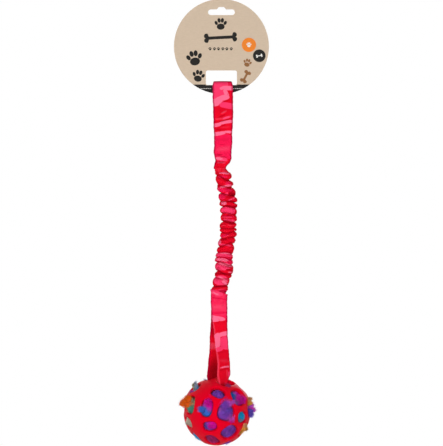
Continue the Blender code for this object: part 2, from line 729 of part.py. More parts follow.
def make_stuffing(pivot, material):
    """Fill the cover with a ball of fibre that has a pocket for the squeaker."""
    holes = hole_list()
    depth = PLUSH_WALL + CLEARANCE
    shape = bmesh.new()
    for hole in holes:
        rays = cell_rays(hole, holes, PLUSH_EDGE_STEP)
        outer = [drawn_in(ray, STUFFING_RADIUS, depth) for ray, _ in rays]
        if not is_turning_gap(hole):
            add_fan(shape, outer, drawn_in(hole["direction"], STUFFING_RADIUS, depth))
            continue
        rings = [outer, gap_ring(hole, rays, STUFFING_RADIUS)]
        turns = sorted(turn for _, turn in rays)
        widest = max(b - a for a, b in zip(turns, turns[1:] + [turns[0] + 2.0 * math.pi]))
        pocket = (SQUEAKER_RADIUS + CLEARANCE) / math.cos(0.5 * widest)
        half = 0.5 * SQUEAKER_HEIGHT + CLEARANCE
        toward, across = hole_frame(hole)
        for radius, height in ((TURNING_GAP_RADIUS, half), (pocket, half), (pocket, -half)):
            rings.append([
                BALL_CENTER + height * hole["direction"]
                + radius * (math.cos(turn) * toward + math.sin(turn) * across)
                for _, turn in rays])
        add_strips(shape, rings)
        add_fan(shape, rings[-1], BALL_CENTER - half * hole["direction"])
    return finish_object("stuffing", shape, material, pivot)


def turned(profile, steps):
    """Turn a profile of radius and height about the squeaker's axis."""
    rings = []
    for radius, height in profile:
        center = BALL_CENTER - height * POLE
        rings.append([
            center + radius * (math.cos(turn) * THROUGH_WEB + math.sin(turn) * ALONG_WEB)
            for turn in np.linspace(0.0, 2.0 * math.pi, steps, endpoint=False)])
    return loft(rings, close_ends=False)


def make_squeaker(pivot, material):
    """Mould the squeaker: a hollow drum with a mouth for its reed."""
    half = 0.5 * SQUEAKER_HEIGHT
    side = SQUEAKER_RADIUS - SQUEAKER_ROUNDING
    inner_half = half - SQUEAKER_WALL
    inner_radius = SQUEAKER_RADIUS - SQUEAKER_WALL
    profile = [
        (0.0, -half), (side, -half), (SQUEAKER_RADIUS, SQUEAKER_ROUNDING - half),
        (SQUEAKER_RADIUS, half - SQUEAKER_ROUNDING), (side, half),
        (SQUEAKER_MOUTH_RADIUS, half), (SQUEAKER_MOUTH_RADIUS, inner_half),
        (side, inner_half), (inner_radius, half - SQUEAKER_ROUNDING),
        (inner_radius, SQUEAKER_ROUNDING - half), (side, -inner_half), (0.0, -inner_half),
    ]
    return finish_object("squeaker_drum", turned(profile, SQUEAKER_STEPS), material, pivot)


def make_reed(pivot, material):
    """Make the squeaker's reed, a small flanged tube in its mouth."""
    stem = SQUEAKER_MOUTH_RADIUS - CLEARANCE
    flange = 0.5 * SQUEAKER_HEIGHT - SQUEAKER_WALL - CLEARANCE
    low = flange - REED_HEIGHT
    ledge = flange - REED_FLANGE_HEIGHT
    top = 0.5 * SQUEAKER_HEIGHT
    profile = [
        (REED_BORE_RADIUS, low), (stem, low), (stem, ledge), (stem + REED_FLANGE, ledge),
        (stem + REED_FLANGE, flange), (stem, flange), (stem, top), (REED_BORE_RADIUS, top),
    ]
    profile.append(profile[0])
    return finish_object("squeaker_reed", turned(profile, SQUEAKER_STEPS), material, pivot)


def make_tack(name, center, width, face, pivot, material):
    """Lay one zigzag of thread across a sewn strap, on its front or back."""
    points = []
    for i in range(2 * TACK_ZIGZAGS + 1):
        x = width * (i / (2.0 * TACK_ZIGZAGS) - 0.5)
        z = 0.5 * TACK_HEIGHT * (-1.0 if i % 2 else 1.0)
        points.append(np.array((x, 0.0, z)))
    rings = []
    for i, point in enumerate(points):
        before = unit(point - points[i - 1]) if i > 0 else None
        after = unit(points[i + 1] - point) if i + 1 < len(points) else None
        before = after if before is None else before
        after = before if after is None else after
        along = unit(before + after)
        mitre = min(MITRE_LIMIT, 1.0 / abs(float(np.dot(along, after))))
        side = THREAD_RADIUS * mitre * np.cross(along, (0.0, 1.0, 0.0))
        deep = np.array((0.0, THREAD_RADIUS, 0.0))
        place = np.array(center) + point
        rings.append([place + side, place + deep, place - side, place - deep])
    return finish_object(f"{name}_{face}", loft(rings, close_ends=True), material, pivot)


def make_tacks(name, center_x, z, thickness, width, pivot, material):
    """Make the zigzags on the front and the back of a sewn strap."""
    y = thickness + CLEARANCE + THREAD_RADIUS
    for face, side in (("front", -1.0), ("back", 1.0)):
        make_tack(name, (center_x, side * y, z), width, face, pivot, material)


def main():
    """Build the whole toy."""
    clear_scene()
    strap = make_material("strap_fabric", (0.72, 0.02, 0.08), 0.75)
    sleeve = make_material("sleeve_fabric", (0.78, 0.03, 0.10), 0.75)
    elastic = make_material("elastic_band", (0.80, 0.78, 0.74), 0.85)
    thread = make_material("sewing_thread", (0.78, 0.05, 0.16), 0.7)
    rubber = make_material("ball_rubber", (0.75, 0.01, 0.02), 0.45)
    fur = make_material("plush_fur", (0.25, 0.05, 0.35), 0.95)
    fibre = make_material("fibre_fill", (0.86, 0.86, 0.84), 1.0)
    plastic = make_material("squeaker_plastic", (0.85, 0.86, 0.88), 0.4)
    make_card()
    handle_pivot = make_pivot("handle_pivot", (0.0, 0.0, STRIP_TOP_Z))
    bungee_pivot = make_pivot("bungee_pivot", (0.0, 0.0, HANDLE_SEAM_Z), handle_pivot)
    cuff_pivot = make_pivot("cuff_pivot", (0.0, 0.0, LOWER_CUFF_Z), bungee_pivot)
    loop_pivot = make_pivot("loop_pivot", (0.0, 0.0, LOOP_SEAM_Z), cuff_pivot)
    axes = Matrix((ALONG_WEB, THROUGH_WEB, POLE)).transposed().to_4x4()
    ball_pivot = make_pivot("ball_pivot", WEB_CENTER, loop_pivot, axes)
    make_handle(handle_pivot, strap)
    make_cuff("upper_cuff", UPPER_CUFF_Z, UPPER_CUFF_LENGTH, bungee_pivot, strap)
    make_elastic(bungee_pivot, elastic)
    make_sleeve(bungee_pivot, sleeve)
    make_cuff("lower_cuff", LOWER_CUFF_Z, LOWER_CUFF_LENGTH, cuff_pivot, strap)
    make_ball_loop(loop_pivot, strap)
    make_tacks("handle_tack", HANDLE_SHIFT, HANDLE_SEAM_Z + HANDLE_TACK_RISE,
               HANDLE_THICKNESS, HANDLE_TACK_WIDTH, handle_pivot, thread)
    make_tacks("loop_tack", bungee_x(BUNGEE_BOTTOM_Z), LOOP_SEAM_Z - LOOP_TACK_DROP,
               LOOP_THICKNESS, LOOP_TACK_WIDTH, loop_pivot, thread)
    make_shell(ball_pivot, rubber)
    make_plush(ball_pivot, fur)
    make_stuffing(ball_pivot, fibre)
    make_squeaker(ball_pivot, plastic)
    make_reed(ball_pivot, plastic)


main()
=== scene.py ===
"""Dog tug toy: the looks of the hanging toy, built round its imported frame.

Lengths are in metres in the frame's own axes: the origin is the seat of the
card's peg slot, +Z is up and the card's printed front faces -Y.  Tables give
places in millimetres: x to the right, drop down from the peg's seat.
"""
from __future__ import annotations

import logging
import math
from dataclasses import dataclass
from enum import Enum
from typing import Sequence

import bmesh
import bpy
import numpy as np
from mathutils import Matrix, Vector

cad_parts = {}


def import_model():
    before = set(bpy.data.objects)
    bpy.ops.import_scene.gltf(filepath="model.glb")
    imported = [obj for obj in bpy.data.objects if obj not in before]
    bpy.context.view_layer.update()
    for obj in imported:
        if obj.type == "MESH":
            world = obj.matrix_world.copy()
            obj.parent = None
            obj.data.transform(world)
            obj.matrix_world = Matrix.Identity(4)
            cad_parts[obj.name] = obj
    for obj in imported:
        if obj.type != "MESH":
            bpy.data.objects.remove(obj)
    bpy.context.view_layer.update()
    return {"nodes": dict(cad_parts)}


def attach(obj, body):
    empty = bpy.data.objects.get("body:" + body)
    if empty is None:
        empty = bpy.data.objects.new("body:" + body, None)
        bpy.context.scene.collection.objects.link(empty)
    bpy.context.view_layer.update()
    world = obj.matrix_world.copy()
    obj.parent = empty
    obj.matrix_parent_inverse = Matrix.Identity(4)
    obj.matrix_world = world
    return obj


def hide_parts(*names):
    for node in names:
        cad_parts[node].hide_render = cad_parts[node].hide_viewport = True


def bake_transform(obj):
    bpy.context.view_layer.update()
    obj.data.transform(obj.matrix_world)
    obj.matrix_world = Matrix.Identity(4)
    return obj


log = logging.getLogger("tug_toy")
Array = np.ndarray
Row = tuple[float, ...]
Color = tuple[float, ...]
MM = 0.001
BLUNT_POWER = 2.6  # how square the ovals of the print and of the holes are


def tint(red: int, green: int, blue: int) -> tuple[float, float, float, float]:
    """Turn a display colour into the linear colour that shaders use.

    Args:
        red, green, blue: parts from 0 to 255.

    Returns:
        The linear colour with a full alpha.
    """
    parts = np.array((red, green, blue)) / 255.0
    linear = np.where(parts <= 0.04045, parts / 12.92, ((parts + 0.055) / 1.055) ** 2.4)
    return (*linear.tolist(), 1.0)


class Tone(Enum):
    """Colours of the printed cloth and of the painted shade in the sleeve's valleys, in the
    order of the print's channels.
    """

    CRIMSON = 0
    HOT = 1
    LIGHT = 2
    PAINTED_SHADE = 3
    RED = 4


class Dye(Enum):
    """Colours of the tie-dyed plush."""

    PURPLE = tint(126, 62, 176)
    VIOLET = tint(92, 72, 176)
    NAVY = tint(36, 114, 196)
    BLUE = tint(56, 108, 196)
    TEAL = tint(4, 156, 206)
    SEA = tint(76, 156, 134)
    MAGENTA = tint(222, 0, 176)
    ORCHID = tint(190, 80, 190)
    MAROON = tint(160, 30, 100)
    ORANGE = tint(255, 112, 12)
    AMBER = tint(255, 184, 74)
    TAN = tint(255, 190, 132)
    CREAM = tint(196, 186, 170)
    SLATE = tint(146, 158, 176)
    OLIVE = tint(150, 146, 116)


# ---------------------------------------------------------------- shapes


def smooth(share: Array) -> Array:
    """Ease shares from 0 to 1 with flat ends: 3s^2 - 2s^3."""
    share = np.clip(share, 0.0, 1.0)
    return share * share * (3.0 - 2.0 * share)


def blunt_oval(u: Array, v: Array, long: float | Array, wide: float | Array) -> Array:
    """Measure places against a blunt oval, as a power mean of both shares.

    Args:
        u, v: the places' coordinates from the oval's centre.
        long, wide: its half sizes.

    Returns:
        The share of the way to the rim: 0 at the centre and 1 on the rim.
    """
    return (((np.abs(u) / long) ** BLUNT_POWER + (np.abs(v) / wide) ** BLUNT_POWER)
            ** (1 / BLUNT_POWER))


def unit(vectors: Array) -> Array:
    """Scale vectors to length one along the last axis."""
    vectors = np.asarray(vectors, float)
    return vectors / np.linalg.norm(vectors, axis=-1, keepdims=True)


def turns(count: int) -> Array:
    """Space angles evenly round a full turn, without its end."""
    return np.linspace(0.0, 2.0 * math.pi, count, endpoint=False)


def turned(u: Array, v: Array, degrees: float) -> tuple[Array, Array]:
    """Turn flat places about the origin, from u towards v.

    Args:
        u, v: the places' two coordinates.
        degrees: the angle.

    Returns:
        The turned coordinates.
    """
    c, s = math.cos(math.radians(degrees)), math.sin(math.radians(degrees))
    return u * c - v * s, u * s + v * c


def bell(at: Array, middle: float, half: float, power: int = 2) -> Array:
    """Follow a bell curve of height 1: e to the minus nth power of the offset."""
    return np.exp(-(((at - middle) / half) ** power))


def through(knots: Sequence[Row], at: Array) -> Array:
    """Follow a smooth line through knots.

    Between two knots the line is the cubic with the knots' values and with
    the mean slopes there.

    Args:
        knots: pairs of place and value, with places in rising order.
        at: places to read.

    Returns:
        The values at those places.
    """
    places, values = np.array(knots, float).T
    slopes = np.gradient(values, places)
    at = np.clip(at, places[0], places[-1])
    i = np.clip(np.searchsorted(places, at, side="right") - 1, 0, len(places) - 2)
    span = places[i + 1] - places[i]
    t = (at - places[i]) / span
    return ((2 * t**3 - 3 * t**2 + 1) * values[i] + (t**3 - 2 * t**2 + t) * span * slopes[i]
            + (3 * t**2 - 2 * t**3) * values[i + 1] + (t**3 - t**2) * span * slopes[i + 1])


def along_line(points: Array, step: float) -> Array:
    """Space points evenly along a line through the given points.

    Args:
        points: rows of points or of any values whose first three are a place.
        step: wished distance between points.

    Returns:
        The rows, read at even distances along the line.
    """
    steps = np.linalg.norm(np.diff(points[:, :3], axis=0), axis=1)
    travel = np.concatenate(([0.0], np.cumsum(steps)))
    count = max(3, int(round(travel[-1] / step)) + 1)
    at = np.linspace(0.0, travel[-1], count)
    return np.stack([np.interp(at, travel, column) for column in points.T], axis=1)


def grid_faces(rows: int, columns: int, closed: bool) -> list[list[int]]:
    """List the faces of a grid of points whose columns go round.

    Args:
        rows, columns: size of the grid.
        closed: join the last row to the first one; otherwise cap both ends.

    Returns:
        The faces as lists of point numbers.
    """
    index = np.arange(rows * columns).reshape(rows, columns)
    low = index if closed else index[:-1]
    high = np.roll(index, -1, axis=0) if closed else index[1:]
    quads = np.stack((low, np.roll(low, -1, 1), np.roll(high, -1, 1), high), axis=-1)
    faces = quads.reshape(-1, 4).tolist()
    if not closed:
        faces += [index[0].tolist()[::-1], index[-1].tolist()]
    return faces


def make_piece(name: str, points: Array, faces: list[list[int]],
               fields: dict[str, Array] | None = None) -> bpy.types.Object:
    """Make a mesh object at the origin, with its faces turned outwards.

    Args:
        name: piece name.
        points: points in metres, of any leading shape.
        faces: faces as lists of point numbers.
        fields: values for each point, stored as attributes by their names.

    Returns:
        The new object.
    """
    mesh = bpy.data.meshes.new(name)
    mesh.from_pydata(points.reshape(-1, 3).tolist(), [], faces)
    kinds = {1: ("FLOAT", "value"), 3: ("FLOAT_VECTOR", "vector"), 4: ("FLOAT_COLOR", "color")}
    for key, values in (fields or {}).items():
        flat = np.asarray(values, np.float32).reshape(len(mesh.vertices), -1)
        kind, slot = kinds[flat.shape[1]]
        mesh.attributes.new(key, kind, "POINT").data.foreach_set(slot, flat.ravel())
    mesh.shade_smooth()
    if enclosed_volume(mesh) < 0.0:
        mesh.flip_normals()
    obj = bpy.data.objects.new(name, mesh)
    bpy.context.scene.collection.objects.link(obj)
    log.info("%s: %d points, %d faces", name, len(mesh.vertices), len(mesh.polygons))
    return obj


def make_sweep(name: str, points: Array, closed: bool = False, **fields: Array,
               ) -> bpy.types.Object:
    """Make a piece from rings of points.

    Args:
        name: piece name.
        points: points in metres, rings by points of a ring.
        closed: join the last ring to the first one; otherwise cap both ends.
        fields: values for each point, stored as attributes by their names.

    Returns:
        The new object.
    """
    return make_piece(name, points, grid_faces(*points.shape[:2], closed), fields)


def enclosed_volume(mesh: bpy.types.Mesh) -> float:
    """Sum the signed volumes between the origin and each triangle.

    Args:
        mesh: a closed mesh.

    Returns:
        The volume, below zero where the faces look inwards.
    """
    places = np.zeros(len(mesh.vertices) * 3)
    mesh.vertices.foreach_get("co", places)
    mesh.calc_loop_triangles()
    corners = np.zeros(len(mesh.loop_triangles) * 3, np.int32)
    mesh.loop_triangles.foreach_get("vertices", corners)
    first, second, third = places.reshape(-1, 3)[corners.reshape(-1, 3)].swapaxes(0, 1)
    return float((first * np.cross(second, third)).sum() / 6.0)


def merge_points(obj: bpy.types.Object, distance: float) -> None:
    """Weld points of a mesh.

    Args:
        obj: the piece.
        distance: points closer than this become one.
    """
    shape = bmesh.new()
    shape.from_mesh(obj.data)
    bmesh.ops.remove_doubles(shape, verts=shape.verts, dist=distance)
    shape.to_mesh(obj.data)
    shape.free()


@dataclass(frozen=True)
class BandRing:
    """Cross section of a flattened cloth tube: two faces and two round edges.

    Attributes:
        face_steps: steps across each face.
        edge_steps: steps round each edge.
    """

    face_steps: int = 18
    edge_steps: int = 6

    def shares(self) -> tuple[Array, Array, Array]:
        """Give each ring point's share across, edge offset and side.

        Returns:
            Arrays of the share across the flat (0 left, 1 right), the offset
            across and the offset outwards in half thicknesses.
        """
        flat = np.linspace(0.0, 1.0, self.face_steps + 1)
        turn = np.linspace(0.0, math.pi, self.edge_steps + 1)[1:-1]
        share = np.concatenate((flat, np.ones(len(turn)), flat[::-1], np.zeros(len(turn))))
        edge = np.concatenate((0 * flat, np.sin(turn), 0 * flat, -np.sin(turn)))
        side = np.concatenate((0 * flat + 1, np.cos(turn), 0 * flat - 1, -np.cos(turn)))
        return share, edge, side


def sweep_band(middle: Array, across: Array, outward: Array, left: Array, right: Array,
               half: float, relief: Array) -> Array:
    """Carry the band's cross section along a path.

    A point is the middle line, plus its distance across times the direction
    across, plus its distance out times the direction out.

    Args:
        middle, across, outward: places and directions at each station.
        left, right: the edges' distances across at each station.
        half: half the band's thickness.
        relief: extra height of each face, for stations by ring points.

    Returns:
        Points for stations by ring points.
    """
    share, edge, side = BandRing().shares()
    distance = (left[:, None] + half + (right - left - 2 * half)[:, None] * share
                + edge * half)
    height = side * (half + relief)
    return (middle[:, None] + distance[..., None] * across[:, None]
            + height[..., None] * outward[:, None])


# ------------------------------------------------------------- the print


RED, CRIMSON, HOT, LIGHT, PAINTED_SHADE = Tone.RED, Tone.CRIMSON, Tone.HOT, Tone.LIGHT, Tone.PAINTED_SHADE

# Patches of the print: tone, x, drop, half length, half width, turn in degrees
# The darkest-red patches lie in the sleeve's valleys: they are painted shade.
PATCHES = (
    # The thin HOT and LIGHT streaks at x, drop 6.2, 124.2; 4, 201.3; 11.9, 214.8; 9.8, 297.0;
    # 1.6, 304.6; 4.4, 403.2 and 8.9, 411 lie on fold ridges: they are painted highlights.
    (HOT, -3.8, 94.0, 12.4, 14.0, 0), (CRIMSON, 12.5, 86.2, 4.6, 2.4, 0),
    (RED, 8.8, 100.6, 7.2, 2.0, 88), (RED, 6.8, 105.4, 3.8, 1.6, 16),
    (LIGHT, 7.2, 90.9, 8.8, 2.5, 2),
    (LIGHT, 5.6, 97.2, 5.6, 2.3, -66), (LIGHT, 0.4, 102.4, 8.4, 3.2, 14),
    (LIGHT, -6.4, 106.6, 7.6, 4.2, 10), (HOT, 7.4, 110.6, 9.4, 3.4, -6),
    (HOT, 6.2, 124.2, 4.6, 1.1, 17), (LIGHT, 2.0, 129.8, 15.0, 1.7, 12),
    (LIGHT, -5.6, 131.9, 5.2, 2.1, 10), (CRIMSON, 1.2, 156.6, 16.0, 14.4, 0),
    (LIGHT, 2.0, 140.6, 15.0, 1.5, 5), (LIGHT, -4.0, 141.8, 9.0, 2.1, 5),
    (HOT, -0.6, 170.0, 7.8, 2.3, -12),
    (LIGHT, -2.6, 169.6, 4.4, 1.3, -10), (LIGHT, 3.6, 186.4, 5.6, 1, -4),
    (CRIMSON, 1.2, 190.4, 5.6, 1.3, -4), (CRIMSON, 7.6, 197.8, 2.9, 2.2, 0),
    (LIGHT, 4, 201.3, 8.1, 1.3, 14), (HOT, -2, 204.1, 2.5, 2.1, 0),
    (CRIMSON, 4, 205.4, 7.8, 2.1, 0), (CRIMSON, 0.7, 212.4, 4, 3.4, 0),
    (HOT, 5.8, 209.7, 1.8, 1.9, 0), (PAINTED_SHADE, 11.2, 209, 3.6, 2, -8),
    (HOT, 11.9, 214.8, 4.7, 0.9, 25), (LIGHT, 2.6, 219.9, 3.1, 2.1, 0),
    (PAINTED_SHADE, 11.3, 223.3, 6.2, 1.1, -6), (HOT, 7.6, 228, 7.6, 3.7, -3),
    (CRIMSON, 7.4, 235, 6.3, 1, 0), (HOT, 8.5, 238.7, 6.5, 1.5, -5),
    (PAINTED_SHADE, 8.5, 241.8, 6, 0.9, -8), (CRIMSON, 2.5, 256.5, 5.4, 1.3, 16),
    (LIGHT, -2.0, 263.9, 2.0, 2.8, -10), (HOT, 3.6, 266.6, 7.0, 1.0, -6),
    (HOT, 3.4, 277.4, 11.0, 2.6, -2), (LIGHT, 4.4, 276.2, 5.2, 0.7, -2),
    (CRIMSON, 3.0, 285.0, 13.0, 4.6, -4), (LIGHT, 0.6, 283.2, 6.8, 1.6, -10),
    (HOT, 0.0, 291.4, 9.6, 3.4, -8), (LIGHT, 4.4, 288.7, 8.4, 1.6, -12),
    (LIGHT, 9.8, 297.0, 2.2, 0.6, 6), (PAINTED_SHADE, 8.1, 294.3, 2.7, 0.7, 0),
    (PAINTED_SHADE, 0.7, 299.0, 9.2, 0.9, -4), (HOT, -0.6, 306.2, 8.2, 5.4, -12),
    (LIGHT, 1.6, 304.6, 6.4, 1.0, -30), (LIGHT, 3.8, 309.0, 3.6, 1.6, -40),
    (PAINTED_SHADE, -0.6, 313.0, 6.5, 0.9, -3),
    (CRIMSON, -2.7, 334.0, 15.0, 18.0, 0), (HOT, -5.4, 320.0, 8.0, 2.8, -20),
    (LIGHT, -6.4, 320.6, 3.6, 0.8, -22),
    (LIGHT, -5.2, 348.6, 9.8, 2.6, -12), (LIGHT, -7.4, 350.4, 5.0, 2.0, 0),
    (RED, -0.4, 358.2, 14.0, 6.2, 3), (LIGHT, 0.8, 366.8, 11.0, 2.5, 11),
    (LIGHT, -4.6, 374.0, 3.6, 9.4, -3), (HOT, 5.0, 376.4, 6.6, 7.4, 0),
    (HOT, -2.4, 383.0, 4.6, 2.6, 10),
    (LIGHT, 4.4, 403.2, 5.6, 0.8, 7), (HOT, 8.9, 411, 1.5, 3.2, 0),
)


@dataclass(frozen=True)
class ClothPrint:
    """The camouflage print, as soft patches laid over each other.

    Attributes:
        soft_edge: half width of a patch's edge, in millimetres.
        depth_slide: how far the print slides down for each millimetre of
            depth behind the middle, so that the back shows other parts of it.
        patches: rows of tone, x, drop, half length, half width and turn.
    """

    soft_edge: float = 0.7
    depth_slide: float = 1.7
    patches: tuple[tuple[Tone, float, float, float, float, float], ...] = PATCHES

    def tones(self, points: Array) -> Array:
        """Read the print at points.

        A patch is a blunt oval: its mask grows from 0 to 1 where the point's
        share of the way to the oval's rim falls below one.

        Args:
            points: points in metres.

        Returns:
            One value from 0 to 1 for each tone but red, for each point.
        """
        x, y, z = (points[..., i] / MM for i in range(3))
        drop = -z + self.depth_slide * np.maximum(y, 0.0)
        x, drop = (x + 0.35 * np.sin(0.41 * drop + 1.0), drop + 0.35 * np.sin(0.33 * x + 0.4))
        fields = np.zeros((*x.shape, 4))
        for tone, px, pd, long, wide, turn in self.patches:
            share = blunt_oval(*turned(x - px, drop - pd, turn), long, wide)
            mask = np.clip(0.5 + (1.0 - share) * min(long, wide) / (2 * self.soft_edge), 0, 1)
            fields *= 1.0 - mask[..., None]
            if tone is not RED:
                fields[..., tone.value] = np.maximum(fields[..., tone.value], mask)
        return fields


def pleats(x: Array, drop: Array, folds: Sequence[Row]) -> Array:
    """Add up short folds pressed into flat cloth.

    A fold is a bell curve across its line, fading towards its ends.

    Args:
        x, drop: places in millimetres.
        folds: x, drop, half length, width, turn in degrees and height.

    Returns:
        Heights in millimetres.
    """
    height = np.zeros_like(x)
    for px, pd, long, wide, turn, rise in folds:
        u, v = turned(x - px, drop - pd, turn)
        height += rise * np.exp(-(v / wide) ** 2 - (u / long) ** 4)
    return height


# ------------------------------------------------------------- materials


class NodeTree:
    """A thin hand on a node tree: add a node with its values, link sockets."""

    def __init__(self, tree: bpy.types.NodeTree) -> None:
        """Take the tree to work on."""
        self.tree = tree

    def add(self, kind: str, inputs: dict | None = None, **settings: object) -> bpy.types.Node:
        """Add a node.

        Args:
            kind: node type without its ShaderNode prefix.
            inputs: socket names or numbers with their values or links.
            settings: node properties.

        Returns:
            The node.
        """
        node = self.tree.nodes.new(kind if kind.startswith("Node") else "ShaderNode" + kind)
        for key, value in settings.items():
            setattr(node, key, value)
        for key, value in (inputs or {}).items():
            self.feed(value, node.inputs[key])
        return node

    def feed(self, value: object, socket: bpy.types.NodeSocket) -> None:
        """Give an input socket its link or its constant value.

        Args:
            value: an output socket, or a plain value.
            socket: the input socket.
        """
        if isinstance(value, bpy.types.NodeSocket):
            self.tree.links.new(value, socket)
        else:
            socket.default_value = value

    def math(self, operation: str, *values: object) -> bpy.types.NodeSocket:
        """Add a math node and give its result."""
        return self.add("Math", dict(enumerate(values)), operation=operation).outputs[0]

    def scaled(self, value: object, factor: float, offset: float) -> bpy.types.NodeSocket:
        """Multiply a value, add an offset and give the result."""
        return self.math("ADD", self.math("MULTIPLY", value, factor), offset)

    def blend(self, factor: object, first: object, second: object) -> bpy.types.NodeSocket:
        """Mix two colours and give the result."""
        node = self.add("Mix", {0: factor, 6: first, 7: second}, data_type="RGBA")
        return node.outputs[2]

    def lit(self, level: object, color: object) -> bpy.types.NodeSocket:
        """Scale a colour's brightness and give the result."""
        return self.add("HueSaturation", {"Value": level, "Color": color}).outputs[0]

    def field(self, name: str, output: str = "Fac") -> bpy.types.NodeSocket:
        """Read a stored attribute."""
        return self.add("Attribute", attribute_name=name).outputs[output]

    def place(self) -> bpy.types.NodeSocket:
        """Give the object's own coordinates."""
        return self.add("TexCoord").outputs["Object"]


def new_group(name: str, inputs: dict[str, str], output: tuple[str, str],
              ) -> tuple[NodeTree, list[bpy.types.NodeSocket], bpy.types.NodeSocket]:
    """Start a shader node group with named sockets.

    Args:
        name: group name.
        inputs: socket names with their kinds.
        output: name and kind of its one output.

    Returns:
        The group's tree, its given values and the socket for its result.
    """
    tree = bpy.data.node_groups.new(name, "ShaderNodeTree")
    for names, way in ((inputs.items(), "INPUT"), ((output,), "OUTPUT")):
        for key, kind in names:
            tree.interface.new_socket(key, in_out=way, socket_type="NodeSocket" + kind)
    nodes = NodeTree(tree)
    given, result = nodes.add("NodeGroupInput"), nodes.add("NodeGroupOutput")
    return nodes, [given.outputs[key] for key in inputs], result.inputs[output[0]]


def woven_threads() -> bpy.types.NodeTree:
    """Build the weave: each thread's round back, over and under by turns.

    With a and b the halves of the waves along and across, the height is the
    larger of |sin a cos b| and |cos a sin b|.

    Returns:
        The node group.
    """
    nodes, (cloth, threads), result = new_group(
        "woven_threads", {"Cloth": "Vector", "Threads": "Float"}, ("Height", "Float"))
    scaled = nodes.add("VectorMath", {0: cloth, "Scale": threads}, operation="SCALE")
    parts = nodes.add("SeparateXYZ", {0: scaled.outputs[0]})
    waves = [[nodes.math("ABSOLUTE", nodes.math(kind, parts.outputs[i]))
              for kind in ("SINE", "COSINE")] for i in (0, 1)]
    warp = nodes.math("MULTIPLY", waves[0][0], waves[1][1])
    weft = nodes.math("MULTIPLY", waves[0][1], waves[1][0])
    nodes.feed(nodes.math("MAXIMUM", warp, weft), result)
    return nodes.tree


def fine_mottle() -> bpy.types.NodeTree:
    """Build a soft unevenness: two noises, one large and one fine.

    Returns:
        The node group, whose Mask is about 0.5 on average.
    """
    nodes, (place, *scales), result = new_group(
        "fine_mottle", {"Place": "Vector", "Coarse": "Float", "Fine": "Float"},
        ("Mask", "Float"))
    noises = [nodes.add("TexNoise", {"Vector": place, "Scale": scale, "Detail": detail,
                                     "Roughness": 0.55}).outputs[0]
              for scale, detail in zip(scales, (2.0, 4.0))]
    nodes.feed(nodes.math("MULTIPLY", nodes.math("ADD", *noises), 0.5), result)
    return nodes.tree


def camouflage() -> bpy.types.NodeTree:
    """Build the print and the painted valley shade: each tone shows where its field passes one
    half.

    Returns:
        The node group.
    """
    nodes, (tones, deep, place), result = new_group(
        "camouflage", {"Fields": "Color", "PaintedShade": "Float", "Place": "Vector"},
        ("Color", "Color"))
    rough = nodes.add("TexNoise", {"Vector": place, "Scale": 420.0, "Detail": 1.0}).outputs[0]
    ragged = nodes.math("MULTIPLY", nodes.math("SUBTRACT", rough, 0.5), 0.3)
    parts = nodes.add("SeparateColor", {0: tones})
    color: object = ClothFinish.COLORS[RED]
    for tone, field in zip((CRIMSON, HOT, LIGHT, PAINTED_SHADE), (*parts.outputs[:3], deep)):
        crisp = nodes.add("MapRange", {0: nodes.math("ADD", field, ragged), 1: 0.36, 2: 0.64},
                          interpolation_type="SMOOTHSTEP").outputs[0]
        color = nodes.blend(crisp, color, ClothFinish.COLORS[tone])
    nodes.feed(color, result)
    return nodes.tree


class Finish:
    """Base of every finish: a named material round one Principled shader."""

    makers = {make.__name__: make for make in (woven_threads, fine_mottle, camouflage)}
    groups: dict[str, bpy.types.NodeTree] = {}

    def start(self, name: str, roughness: float, **sockets: object,
              ) -> tuple[bpy.types.Material, NodeTree, bpy.types.NodeInputs]:
        """Make the material and set the shader's constant sockets.

        Args:
            name: material name.
            roughness: the shader's roughness.
            sockets: other constant sockets, with _ for a space.

        Returns:
            The material, its tree and its shader's input sockets.
        """
        material = bpy.data.materials.new(name)
        material.use_nodes = True
        inputs = material.node_tree.nodes["Principled BSDF"].inputs
        for key, value in {"Roughness": roughness, **sockets}.items():
            inputs[key.replace("_", " ")].default_value = value
        return material, NodeTree(material.node_tree), inputs

    def shared(self, nodes: NodeTree, name: str, inputs: dict) -> bpy.types.NodeSocket:
        """Place a shared group in the material, built on its first use.

        Args:
            nodes: the material's tree.
            name: group name.
            inputs: the group's sockets with their values or links.

        Returns:
            The group's result.
        """
        if name not in self.groups:
            self.groups[name] = self.makers[name]()
        node = nodes.add("Group", node_tree=self.groups[name])
        for key, value in inputs.items():
            nodes.feed(value, node.inputs[key])
        return node.outputs[0]

    def mottle(self, nodes: NodeTree, coarse: float, fine: float,
               place: bpy.types.NodeSocket | None = None) -> bpy.types.NodeSocket:
        """Place the shared unevenness, on the object's own coordinates.

        Args:
            nodes: the material's tree.
            coarse, fine: scales of the two noises.
            place: stretched coordinates, where the plain ones don't serve.

        Returns:
            The mask.
        """
        return self.shared(nodes, "fine_mottle", {"Place": place or nodes.place(),
                                                  "Coarse": coarse, "Fine": fine})

    def bump(self, nodes: NodeTree, inputs: bpy.types.NodeInputs, height: object,
             distance: float, strength: float) -> None:
        """Feed a height to the shader's normal through a Bump node.

        Args:
            nodes: the material's tree.
            inputs: the shader's sockets.
            height: the height to feed.
            distance, strength: the Bump node's values.
        """
        node = nodes.add("Bump", {"Height": height, "Distance": distance,
                                  "Strength": strength})
        nodes.feed(node.outputs[0], inputs["Normal"])


